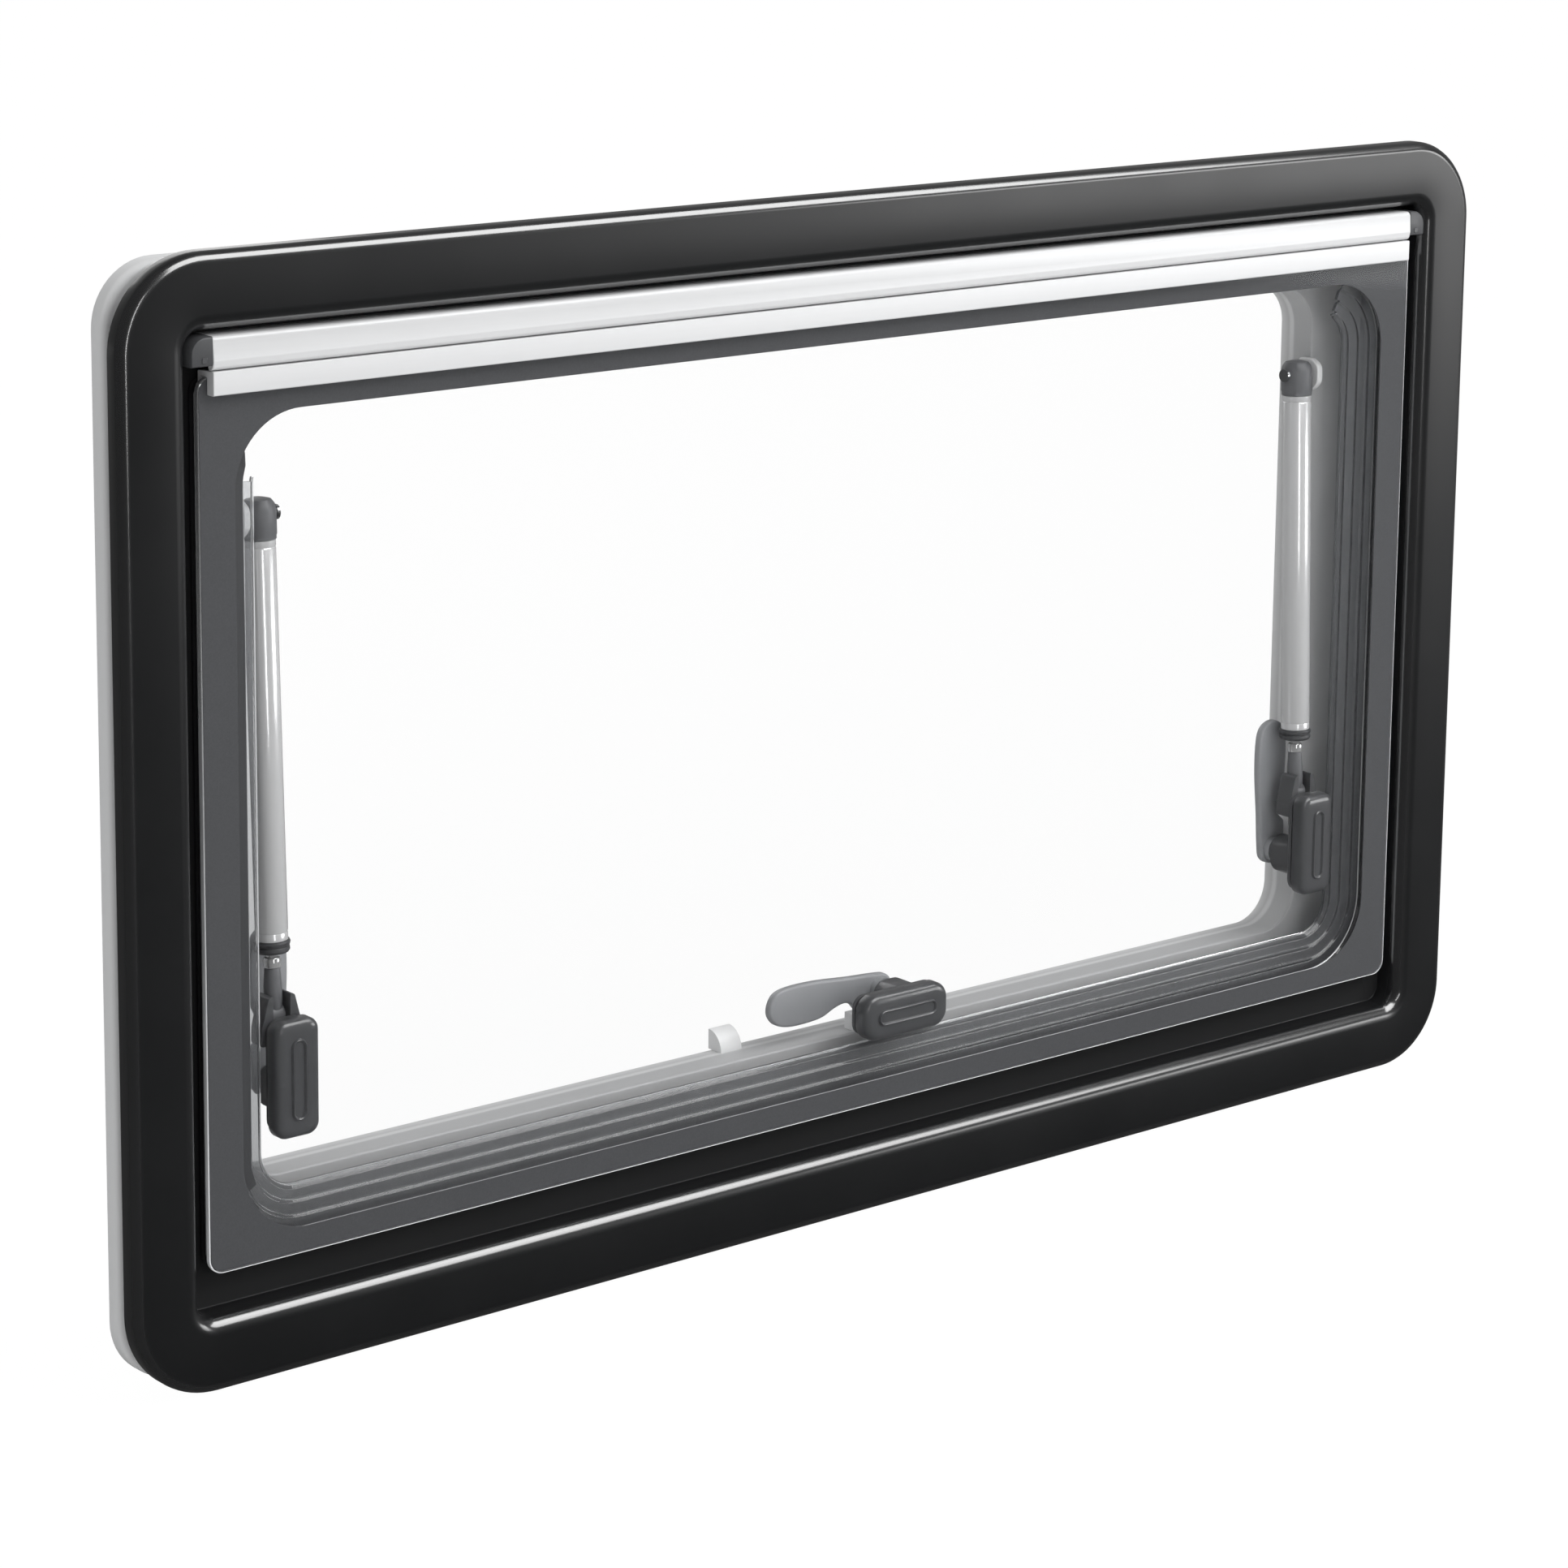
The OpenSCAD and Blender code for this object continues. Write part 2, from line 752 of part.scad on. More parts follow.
module rod_end_left() {
    color([0.38, 0.39, 0.4]) stand() mirror([1, 0, 0]) rod_end_shape();
}

module catch_side_shape() {
    slab(lever_start - 2, lever_start + lever_thickness + 2)
        translate([side_tip + catch_gap, side_pivot_height - 2])
            square([open_half - side_tip - catch_gap, tongue_height + 3]);
}

module catch_right() {
    color([0.92, 0.92, 0.92]) stand() catch_side_shape();
}

module catch_left() {
    color([0.92, 0.92, 0.92]) stand() mirror([1, 0, 0]) catch_side_shape();
}

module catch_lower() {
    color([0.92, 0.92, 0.92]) stand()
        slab(lever_start - 2, lever_start + lever_thickness + 2)
            translate([low_pivot_x - 19, opening_inset])
                square([tongue_height + 3, low_tip - catch_gap - opening_inset]);
}

module blind_clip() {
    color([0.92, 0.92, 0.92]) stand()
        translate([-clip_x - clip_length / 2, opening_inset, -inner_back])
            rotate([90, 0, 90]) linear_extrude(height = clip_length) intersection() {
                circle(clip_radius);
                square(clip_radius);
            }
}

outer_frame();
inner_ring();
inner_body();
frame_seal();
hinge_rail();
rail_cap_left();
rail_cap_right();
stay_lug_left();
stay_lug_right();
upper_pin_left();
upper_pin_right();
catch_left();
catch_right();
catch_lower();
blind_clip();
sash_profile();
outer_pane();
bond_strip();
inner_pane();
pad_left();
pad_right();
pad_lower();
latch_base_left();
latch_base_right();
latch_base_lower();
lower_pin_left();
lower_pin_right();
stay_cap_left();
stay_cap_right();
stay_tube_left();
stay_tube_right();
stay_collar_left();
stay_collar_right();
stay_rod_left();
stay_rod_right();
rod_end_left();
rod_end_right();
lever_left();
lever_right();
lever_lower();
button_left();
button_right();
button_lower();
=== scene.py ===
import bpy, bmesh, math
from mathutils import Vector, Matrix


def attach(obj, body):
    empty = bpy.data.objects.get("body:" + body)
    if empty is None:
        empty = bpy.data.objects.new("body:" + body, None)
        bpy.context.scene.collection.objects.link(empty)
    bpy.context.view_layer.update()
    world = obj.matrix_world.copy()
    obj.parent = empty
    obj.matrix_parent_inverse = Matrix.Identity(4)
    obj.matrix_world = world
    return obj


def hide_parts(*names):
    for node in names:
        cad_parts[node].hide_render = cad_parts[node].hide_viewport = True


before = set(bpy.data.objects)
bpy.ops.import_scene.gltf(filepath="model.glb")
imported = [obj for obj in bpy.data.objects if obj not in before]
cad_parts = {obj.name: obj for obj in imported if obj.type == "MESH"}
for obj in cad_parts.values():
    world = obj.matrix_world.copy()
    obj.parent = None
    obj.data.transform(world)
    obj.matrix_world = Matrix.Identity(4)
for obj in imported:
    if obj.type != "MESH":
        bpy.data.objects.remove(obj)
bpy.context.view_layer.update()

# Sizes are in millimetres: x across, height above the frame's lower edge, depth behind the seating face.
# An outline is (side, low, high, radius): its insets at the sides, below and above, and its corner radius.
WIDTH, HEIGHT, LIFT = 900.0, 550.0, 12.5
HALF = WIDTH / 2
FACE, STRIP, LEDGE = -11.0, 37, 6       # face strip: depth of its front and width; depth of the ledge behind it
FRAME_CORNER = 46
CLEAR = (63.5, 69, 77, 38)              # clear field of the pane
PANE = (44.5, 57, 58.5, 8)
SIDES = ((-1, "left"), (1, "right"))


def at(x, height, depth):
    return Vector((x / 1000, depth / 1000, (height - LIFT) / 1000))


def rise(value, start, end):
    """0 at start and before it, 1 at end and past it, straight between."""
    return min(max((value - start) / (end - start), 0), 1)


# ---------- shader maths ----------
class Val:
    """A node's value. Python's operators add the Math nodes."""

    def __init__(self, nodes, socket):
        self.nodes, self.socket = nodes, socket

    def __add__(self, other): return self.nodes.math("ADD", self, other)
    def __radd__(self, other): return self.nodes.math("ADD", other, self)
    def __rsub__(self, other): return self.nodes.math("SUBTRACT", other, self)
    def __mul__(self, other): return self.nodes.math("MULTIPLY", self, other)
    def __rmul__(self, other): return self.nodes.math("MULTIPLY", other, self)
    def power(self, other): return self.nodes.math("POWER", self, other)
    def least(self, other): return self.nodes.math("MINIMUM", self, other)
    def most(self, other): return self.nodes.math("MAXIMUM", self, other)

    def ramp(self, low, high, below=0.0, above=1.0):
        """Goes smoothly from the number below, at low, to the number above, at high."""
        made = self.nodes.node("ShaderNodeMapRange", {"interpolation_type": "SMOOTHSTEP"},
            {"Value": self, "From Min": low, "From Max": high, "To Min": below, "To Max": above})
        return self.nodes.value(made, "Result")


class Nodes:
    """A node tree, with short ways to add to it."""

    def __init__(self, tree):
        self.tree = tree

    def node(self, kind, settings=None, inputs=None):
        made = self.tree.nodes.new(kind)
        for key, value in (settings or {}).items():
            setattr(made, key, value)
        for key, value in (inputs or {}).items():
            self.feed(made.inputs[key], value)
        return made

    def feed(self, socket, value):
        """Links the socket to a value or a socket, or sets it to a constant."""
        if isinstance(value, Val):
            value = value.socket
        if isinstance(value, bpy.types.NodeSocket):
            self.tree.links.new(value, socket)
        else:
            socket.default_value = value

    def value(self, made, name=0):
        return Val(self, made.outputs[name])

    def math(self, kind, *values):
        return self.value(self.node("ShaderNodeMath", {"operation": kind}, dict(enumerate(values))))

    def blend(self, factor, one, two):
        """A number between one, at factor 0, and two, at factor 1."""
        return self.value(self.node("ShaderNodeMix", {"data_type": "FLOAT"}, {0: factor, 2: one, 3: two}))


class Finish(Nodes):
    """One material and its nodes."""

    def __init__(self, name, color, rough, metal=0.0, specular=0.5):
        self.material = bpy.data.materials.new(name)
        self.material.use_nodes = True
        self.material.diffuse_color = (*color, 1)
        super().__init__(self.material.node_tree)
        self.skin = self.tree.nodes["Principled BSDF"]
        self.give({"Base Color": (*color, 1), "Roughness": rough, "Metallic": metal, "Specular IOR Level": specular})
        self.place = self.node("ShaderNodeTexCoord").outputs["Object"]   # metres in the window's own frame

    def give(self, inputs):
        for key, value in inputs.items():
            self.feed(self.skin.inputs[key], value)

    def show(self, shader):
        """Puts another shader on the surface, in place of the Principled BSDF."""
        self.feed(self.tree.nodes["Material Output"].inputs["Surface"], shader.outputs[0])

    def noise(self, scale, detail, stretch=(1, 1, 1)):
        where = self.node("ShaderNodeMapping", None, {"Vector": self.place, "Scale": stretch}).outputs["Vector"]
        made = self.node("ShaderNodeTexNoise", None, {"Vector": where, "Scale": scale, "Detail": detail})
        return self.value(made, "Fac")

    def attribute(self, name):
        return self.value(self.node("ShaderNodeAttribute", {"attribute_name": name}), "Fac")

    def mix(self, factor, one, two):
        """A colour between one, at factor 0, and two, at factor 1."""
        one, two = ((*color, 1) if isinstance(color, tuple) else color for color in (one, two))
        return self.node("ShaderNodeMix", {"data_type": "RGBA"}, {0: factor, 6: one, 7: two}).outputs[2]

    def paint(self, color, rough, bump=None, height=0.0, strength=1.0):
        self.give({"Base Color": color, "Roughness": rough})
        if bump is not None:
            made = self.node("ShaderNodeBump", None, {"Height": bump, "Distance": height, "Strength": strength})
            self.give({"Normal": made.outputs["Normal"]})


def toned(color, share):
    return tuple(c * share for c in color)


def black_skin():
    """Black moulding, polished where its "edge" mark is 1 and dull where it is -1."""
    f = Finish("black moulded skin", (0.006, 0.0062, 0.0068), 0.3)
    cloud, grain, pores = f.noise(14, 3), f.noise(2600, 2), f.noise(420, 2)
    edge = f.attribute("edge")
    dull = (0 - edge).most(0)
    f.paint(f.mix(cloud, (0.005, 0.0052, 0.0058), (0.008, 0.0083, 0.009)),
        0.27 + 0.08 * cloud + 0.04 * grain + 0.6 * dull,
        bump=grain * 0.6 + pores * 0.4, height=0.000012, strength=0.3)
    f.give({"Coat Weight": edge.most(0), "Coat Roughness": 0.16, "Coat IOR": 2.2})
    return f.material


def pale_plastic(name, color, rough, grey=None):
    """Pale moulding. Where its "grey" mark is 1 it has the grey colour, if one is given; that grey is painted shade.
    """
    f = Finish(name, color, rough)
    cloud, grain = f.noise(9, 3), f.noise(1900, 2)
    shade = f.mix(cloud, toned(color, 0.94), color)
    if grey:
        shade = f.mix(f.attribute("grey"), shade, grey)
    f.paint(shade, rough - 0.05 + 0.1 * cloud, bump=grain, height=0.00003, strength=0.3)
    return f.material


def dark_plastic(name, color, rough, grainy=1.0, coat=0.0):
    f = Finish(name, color, rough, specular=0.45)
    f.give({"Coat Weight": coat, "Coat Roughness": 0.14})
    cloud, grain = f.noise(60, 3), f.noise(1500, 3)
    f.paint(f.mix(cloud * 0.6 + grain * 0.4, toned(color, 0.82), toned(color, 1.12)), rough - 0.06 + 0.12 * grain,
        bump=grain, height=0.00006, strength=0.45 * grainy)
    return f.material


def rubber(name, color):
    f = Finish(name, color, 0.62, specular=0.3)
    grain = f.noise(1200, 3)
    f.paint(f.mix(grain, toned(color, 0.8), toned(color, 1.25)), 0.55 + 0.15 * grain,
        bump=grain, height=0.00003, strength=0.12)
    return f.material


def painted_shade_wall(name, color):
    """A dark grey layer of painted shade, which ends where the mark that the pane gives it falls to 0."""
    f = Finish(name, color, 0.5, specular=0.4)
    grain = f.noise(1200, 3)
    f.paint(f.mix(grain, toned(color, 0.85), toned(color, 1.15)), 0.42 + 0.12 * grain,
        bump=grain, height=0.00003, strength=0.1)
    f.give({"Alpha": f.attribute("shade_cover").ramp(-0.25, 0.25)})
    return f.material


def anodised():
    """Silver anodised section with fine lines along its run."""
    f = Finish("silver anodised section", (0.61, 0.614, 0.62), 0.42, metal=0.08)
    lines, bands = f.noise(900, 2, (0.02, 1, 1)), f.noise(120, 2, (0.05, 1, 1))
    f.paint(f.mix(lines * 0.5 + bands * 0.5, (0.53, 0.534, 0.54), (0.575, 0.579, 0.585)), 0.36 + 0.12 * lines,
        bump=lines, height=0.000006, strength=0.2)
    return f.material


def bright_metal(name, color, rough, stretch, metal=1.0):
    """Polished metal with fine lines along the axis that the stretch makes long."""
    f = Finish(name, color, rough, metal)
    lines = f.noise(1500, 2, stretch)
    f.paint(f.mix(lines, toned(color, 0.92), color), rough - 0.04 + 0.08 * lines,
        bump=lines, height=0.000006, strength=0.4)
    return f.material


def clear_sheet(name):
    """Clear acrylic: a faint mirror, stronger at a slant. There is none where "quiet" is 1, and a pale rim of painted
    highlight where "edge" is 1."""
    tint = (0.95, 0.955, 0.96)
    f = Finish(name, tint, 0.03, metal=1.0)
    facing = f.value(f.node("ShaderNodeLayerWeight", None, {"Blend": 0.5}), "Facing")
    edge = f.attribute("edge")
    cover = (0.004 + 0.2 * (0.03 + facing.power(5.0))) * (1 - f.attribute("quiet")) + 0.9 * edge
    haze = f.noise(500, 2, (1, 1, 0.25))
    f.paint(f.mix(edge, tint, (0.86, 0.875, 0.89)), 0.03 + 0.03 * haze + 0.2 * edge)
    f.give({"Metallic": 1 - edge, "Alpha": cover.least(0.95)})
    f.material.diffuse_color = (0.9, 0.92, 0.93, 0.3)
    return f.material


def bent_sheet():
    """The formed pane's walls, where the bent acrylic refracts. Its "shade" mark darkens them as painted shade, and a
    grey film mixed over them is painted shade too.
    """
    f = Finish("formed acrylic wall", (0.9, 0.915, 0.93), 0.03)
    f.give({"Transmission Weight": 1.0, "IOR": 1.49})
    haze = f.noise(500, 2, (1, 1, 0.25))
    clear = f.mix(haze, (0.88, 0.895, 0.91), (0.95, 0.96, 0.965))
    f.paint(f.mix(f.attribute("shade"), clear, (0.012, 0.0125, 0.014)), 0.02 + 0.05 * haze)
    # A grey diffuse film mixed over the walls: painted shade.
    shade_film = f.node("ShaderNodeBsdfPrincipled", None, {"Base Color": (0.2, 0.205, 0.218, 1), "Roughness": 0.35})
    f.show(f.node("ShaderNodeMixShader", None, {0: 0.1 + 0.12 * haze, 1: f.skin.outputs[0], 2: shade_film.outputs[0]}))
    f.material.diffuse_color = (0.85, 0.88, 0.9, 0.4)
    return f.material


ACROSS, UPRIGHT = (0.03, 1, 1), (1, 1, 0.03)      # stretches of the brushed lines
BLACK = black_skin()
# The white frame's grey colour is painted shade, laid on where its "grey" mark rises.
WHITE = pale_plastic("white moulded frame", (0.58, 0.585, 0.59), 0.42, (0.3, 0.304, 0.312))
CATCH_WHITE = pale_plastic("white catch", (0.74, 0.745, 0.75), 0.35)
SEAL = rubber("black seal rubber", (0.012, 0.012, 0.013))
BOND = rubber("grey bonding strip", (0.052, 0.0535, 0.0575))
METAL = anodised()
PIN = bright_metal("plated pin", (0.66, 0.67, 0.68), 0.25, ACROSS)
TUBE = bright_metal("polished tube", (0.86, 0.865, 0.875), 0.2, UPRIGHT, 0.5)
ROD = bright_metal("chrome rod", (0.9, 0.905, 0.91), 0.12, UPRIGHT, 0.75)
PAD = dark_plastic("latch pad plastic", (0.055, 0.0565, 0.06), 0.34, 0.4, 0.8)
LATCH = dark_plastic("latch body plastic", (0.075, 0.077, 0.081), 0.36, 0.4, 0.5)
LEVER = dark_plastic("lever plastic", (0.285, 0.292, 0.304), 0.38, 0.4, 0.3)
BUTTON = dark_plastic("button plastic", (0.265, 0.27, 0.281), 0.4)
CAP = dark_plastic("end cap plastic", (0.06, 0.0615, 0.065), 0.4)
STAYCAP = dark_plastic("stay cap plastic", (0.125, 0.128, 0.135), 0.38, 0.5)
SCREW = bright_metal("plated screw", (0.7, 0.705, 0.71), 0.28, ACROSS)
RECESS = dark_plastic("screw recess", (0.02, 0.02, 0.021), 0.6)
CLEAR_FRONT = clear_sheet("clear outer pane")
CLEAR_BACK = clear_sheet("clear inner pane")
BENT = bent_sheet()
# A dark layer of painted shade on the formed pane's walls.
SHADE_WALL = painted_shade_wall("painted dark shade on the formed wall", (0.04, 0.0412, 0.0445))


# ---------- mesh helpers ----------
def add_object(name, data):
    made = bpy.data.objects.new(name, data)
    bpy.context.scene.collection.objects.link(made)
    return made


def finish_piece(name, bm, material, body, replaces, slot, smooth=35):
    """Makes the mesh into an object that rides on a body, in place of the CAD nodes that it replaces."""
    bmesh.ops.remove_doubles(bm, verts=bm.verts, dist=1e-6)
    bmesh.ops.recalc_face_normals(bm, faces=bm.faces)
    mesh = bpy.data.meshes.new(name)
    bm.to_mesh(mesh)
    bm.free()
    mesh.materials.append(material)
    mesh.shade_smooth()
    mesh.set_sharp_from_angle(angle=math.radians(smooth))
    piece = add_object(name, mesh)
    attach(piece, body)
    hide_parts(*replaces)
    return piece


def rounded_box(x0, x1, y0, y1, r, steps):
    """Flat points round a rectangle with round corners, from the right side's top on."""
    points = []
    for cx, cy, start in ((x1 - r, y1 - r, 0), (x0 + r, y1 - r, 90), (x0 + r, y0 + r, 180), (x1 - r, y0 + r, 270)):
        for i in range(steps + 1):
            a = math.radians(start + 90 * i / steps)
            points.append((cx + r * math.cos(a), cy + r * math.sin(a)))
    return points


def ring(outline, inset, depth, steps):
    """Points of a rounded rectangle, set in from one of the window's outlines."""
    side, low, high, radius = outline
    return [at(x, h, depth) for x, h in rounded_box(-HALF + side + inset, HALF - side - inset, low + inset,
        HEIGHT - high - inset, max(radius - inset, 0.4), steps)]


def plaque(cx, cz, w, h, r, depth, steps):
    r = min(r, w / 2 - 0.01, h / 2 - 0.01)
    return [at(x, z, depth) for x, z in rounded_box(cx - w / 2, cx + w / 2, cz - h / 2, cz + h / 2, r, steps)]


def rounded_section(points, closed=True, steps=6):
    """Rounds the corners of a section. A point is (number, number, radius)."""
    out = []
    count = len(points)
    for i, point in enumerate(points):
        here, radius = Vector(point[:-1]), point[-1]
        if radius <= 0 or (not closed and i in (0, count - 1)):
            out.append(tuple(here))
            continue
        back = Vector(points[i - 1][:-1]) - here
        on = Vector(points[(i + 1) % count][:-1]) - here
        turn = math.pi - back.angle(on)
        if turn < 0.02:
            out.append(tuple(here))
            continue
        run = min(radius * math.tan(turn / 2), back.length * 0.49, on.length * 0.49)
        start, end, w = here + back.normalized() * run, here + on.normalized() * run, math.cos(turn / 2)
        for k in range(steps + 1):
            t = k / steps
            a, b, c = (1 - t) ** 2, 2 * w * t * (1 - t), t * t
            out.append(tuple((start * a + here * b + end * c) / (a + b + c)))
    return out


def even_section(points, corner):
    """Ring values of section points (inset, depth, rounding), with the corner radius of each inset."""
    return [(inset, inset, inset, corner(inset), depth) for inset, depth in rounded_section(points)]


def drawn_in(points, centre, amount):
    """Flat points moved toward a centre."""
    return [Vector(p) + (Vector(centre) - Vector(p)).normalized() * amount for p in points]


def bridge(bm, rings, closed_section=False):
    """Joins rings of points with faces. Returns their rows of vertices."""
    rows = [[bm.verts.new(p) for p in points] for points in rings]
    pairs = list(zip(rows, rows[1:])) + ([(rows[-1], rows[0])] if closed_section else [])
    for one, two in pairs:
        for i in range(len(one)):
            j = (i + 1) % len(one)
            bm.faces.new((one[i], one[j], two[j], two[i]))
    return rows


def stacked(bm, rings, first=True):
    """Joins rings with faces and closes the last one, and the first one too where first is true."""
    rows = bridge(bm, rings)
    if first:
        bm.faces.new(rows[0])
    bm.faces.new(rows[-1])
    return rows


def swept(name, section, material, steps, mark=None, **more):
    """A closed section of (side, low, high, radius, depth) rings, swept round the window. The mark is a vertex
    layer's name and the function that gives its value at a ring."""
    bm = bmesh.new()
    layer = bm.verts.layers.float.new(mark[0]) if mark else None
    rows = bridge(bm, [ring(values[:4], 0, values[4], steps) for values in section], closed_section=True)
    if mark:
        for row, values in zip(rows, section):
            for v in row:
                v[layer] = mark[1](*values)
    return finish_piece(name, bm, material, "frame", **more)


def turned(bm, profile, origin, axis, steps=40):
    """A turned shape: profile of (radius, run) about an axis from origin."""
    axis = Vector(axis).normalized()
    side = axis.orthogonal().normalized()
    other = axis.cross(side)
    spokes = [side * math.cos(a) + other * math.sin(a) for a in (2 * math.pi * i / steps for i in range(steps))]
    return stacked(bm, [[origin + axis * (run / 1000) + spoke * (max(radius, 0.01) / 1000) for spoke in spokes]
        for radius, run in profile])


# ---------- outer frame ----------
OUTER_ROUND, INNER_ROUND = 7, 10        # radii of the face strip's two edges


def polished_edge(side, low, high, radius, depth):
    """1 on the two roundings of the face strip, 0 on its flats, -1 in the dull recess behind them."""
    if depth > LEDGE - 0.05:
        return -1.0
    if depth >= -0.5 or side >= STRIP + 1:
        return 0.0
    if side < OUTER_ROUND + 1:
        return 1.0 if depth > FACE + 0.05 else 0.0
    return rise(depth, FACE + 0.5, FACE + 1.3)


strip = even_section([(0, 0, 0.6), (0, FACE, OUTER_ROUND), (18, FACE, 0), (STRIP, FACE, INNER_ROUND), (STRIP, 5.9, 1),
    (37.6, LEDGE, 0)], lambda inset: max(FRAME_CORNER - inset, 0.4))
ledge = [(52, 64, 66, 5, LEDGE), (52.7, 64.7, 66.7, 5, 6.6), (52.7, 64.7, 66.7, 5, 8.6), (52.2, 64.2, 66.2, 5, 9)]
neck = [(29, 29, 29, 17, 9), (29, 29, 29, 17, 21.5), (25, 25, 25, 21, 21.5), (25, 25, 25, 21, 0.4),
    (24.6, 24.6, 24.6, 21.4, 0)]
swept("frame_moulding", strip + ledge + neck, BLACK, 20, ("edge", polished_edge),
    replaces=("outer_frame",), slot="black_plastic")


# ---------- inner frame ----------
def painted_reveal_shade(side, low, high, radius, depth):
    """Painted shade on the front lip and on the reveal, with a painted highlight line along the reveal's middle."""
    if side > 84.5:
        return 0.62 if depth < 44.5 else 0.0 if depth < 48 else 0.42 if depth < 52 else 0.0
    return 0.3 if depth < 31.2 and side > 40 else 0.0


clamp = even_section([(4, 10, 3.5), (24.7, 10, 0.6), (24.7, 21.5, 0), (39, 21.5, 0), (39, 24.5, 0), (16, 24.5, 1.5),
    (16, 21.5, 0), (4, 21.5, 2)], lambda inset: max(32 - (inset - 4) * 0.6, 3))
raised = even_section([(39, 24.5, 0), (39, 54, 2), (82, 54, 2), (82, 34, 0), (45, 34, 0), (45, 31, 0.5), (81, 31, 0),
    (85, 31, 1.2), (85, 38, 0), (85, 44, 0), (85, 45.6, 0), (85, 47.4, 0), (85, 49, 0), (85, 57, 4), (70, 57, 0.6),
    (69, 55.2, 0.5), (53, 55.2, 0.5), (52, 57, 0.6), (36, 57, 6), (36, 24.5, 0)],
    lambda inset: max(22 + (inset - 36) * 0.04, 3))
swept("inner_clamp_ring", clamp, WHITE, 14, replaces=("inner_ring",), slot="white_plastic")
# The raised body's "grey" mark paints shade on its lip and reveal, and a highlight line along the reveal.
swept("inner_raised_body", raised, WHITE, 14, ("grey", painted_reveal_shade),
    replaces=("inner_body",), slot="white_plastic")


# ---------- screws ----------
def screw_tree():
    """Geometry Nodes: a countersunk screw with a cross recess on every point."""
    tree = bpy.data.node_groups.new("cabin screws", "GeometryNodeTree")
    face = tree.interface
    face.new_socket("Geometry", in_out="INPUT", socket_type="NodeSocketGeometry")
    for name, value in (("Head Radius", 0.0032), ("Head Height", 0.0012), ("Slot Width", 0.0008)):
        face.new_socket(name, in_out="INPUT", socket_type="NodeSocketFloat").default_value = value
    face.new_socket("Geometry", in_out="OUTPUT", socket_type="NodeSocketGeometry")

    g = Nodes(tree)
    given = g.node("NodeGroupInput")
    radius, height, width = (g.value(given, name) for name in ("Head Radius", "Head Height", "Slot Width"))

    def joined(*parts):
        made = g.node("GeometryNodeJoinGeometry")
        for part in parts:
            tree.links.new(part, made.inputs[0])
        return made.outputs[0]

    def coloured(shape, material):
        return g.node("GeometryNodeSetMaterial", None, {"Geometry": shape, "Material": material}).outputs[0]

    crown = g.node("GeometryNodeMeshCone", {"fill_type": "NGON"},
        {"Vertices": 24, "Radius Top": radius * 0.72, "Radius Bottom": radius, "Depth": height}).outputs["Mesh"]
    bars = []
    for long_axis in (0, 1):
        size = g.node("ShaderNodeCombineXYZ", None, {long_axis: radius * 1.15, 1 - long_axis: width, 2: height * 0.2})
        bars.append(g.node("GeometryNodeMeshCube", None, {"Size": size.outputs[0]}).outputs["Mesh"])
    lift = g.node("ShaderNodeCombineXYZ", None, {2: height}).outputs[0]
    cross = g.node("GeometryNodeTransform", None, {"Geometry": joined(*bars), "Translation": lift}).outputs[0]
    screw = joined(coloured(crown, SCREW), coloured(cross, RECESS))
    turn = g.node("FunctionNodeEulerToRotation", None, {0: (-math.pi / 2, 0.6, 0)}).outputs[0]
    placed = g.node("GeometryNodeInstanceOnPoints", None,
        {"Points": given.outputs["Geometry"], "Instance": screw, "Rotation": turn}).outputs[0]
    real = g.node("GeometryNodeRealizeInstances", None, {0: placed}).outputs[0]
    g.node("NodeGroupOutput", None, {0: real})
    return tree


def screws_on(name, points, body):
    mesh = bpy.data.meshes.new(name)
    mesh.from_pydata([tuple(p) for p in points], [], [])
    holder = add_object(name + "_points", mesh)
    holder.modifiers.new("screws", "NODES").node_group = screw_tree()
    made = bpy.data.meshes.new_from_object(holder.evaluated_get(bpy.context.evaluated_depsgraph_get()))
    holder.modifiers.clear()
    bpy.data.objects.remove(holder)
    made.name = name
    piece = add_object(name, made)
    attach(piece, body)


CHANNEL, CHANNEL_FLOOR = 61, 55.6       # inset of the screw channel's middle, and the screws' depth
places = [(x, h) for x in (-330, -198, -66, 66, 198, 330) for h in (CHANNEL, HEIGHT - CHANNEL)]
places += [(x, h) for x in (-HALF + CHANNEL, HALF - CHANNEL) for h in (140, 275, 410)]
screws_on("cabin_face_screws", [at(x, h, CHANNEL_FLOOR) for x, h in places], "frame")

# ---------- seal ----------
seal = [(46.4, 58.9, 60.9, 6, 6), (46.0, 58.5, 60.5, 6, 4.6), (46.4, 58.9, 60.9, 6, 3.9), (47.6, 60.1, 62.1, 5, 3.7),
    (49.6, 62.1, 64.1, 4, 3.9), (50.4, 62.9, 64.9, 3, 4.7), (50.4, 62.9, 64.9, 3, 6)]
swept("seal_bead", seal, SEAL, 10, replaces=("frame_seal",), slot="seal_rubber")

# ---------- hinge ----------
HINGE_HALF, HINGE_EASE = 400, 0.3       # half the sections' length, and how far their ends are eased


def hinge_section(name, section, body, node):
    """A closed section of (height, depth) points, run along the hinge."""
    bm = bmesh.new()
    centre = [sum(numbers) / len(section) for numbers in zip(*section)]
    ends = ((-HINGE_HALF, HINGE_EASE), (-HINGE_HALF + HINGE_EASE, 0),
        (HINGE_HALF - HINGE_EASE, 0), (HINGE_HALF, HINGE_EASE))
    stacked(bm, [[at(x, *p) for p in drawn_in(section, centre, inset)] for x, inset in ends])
    finish_piece(name, bm, METAL, body, replaces=(node,), slot="aluminium")


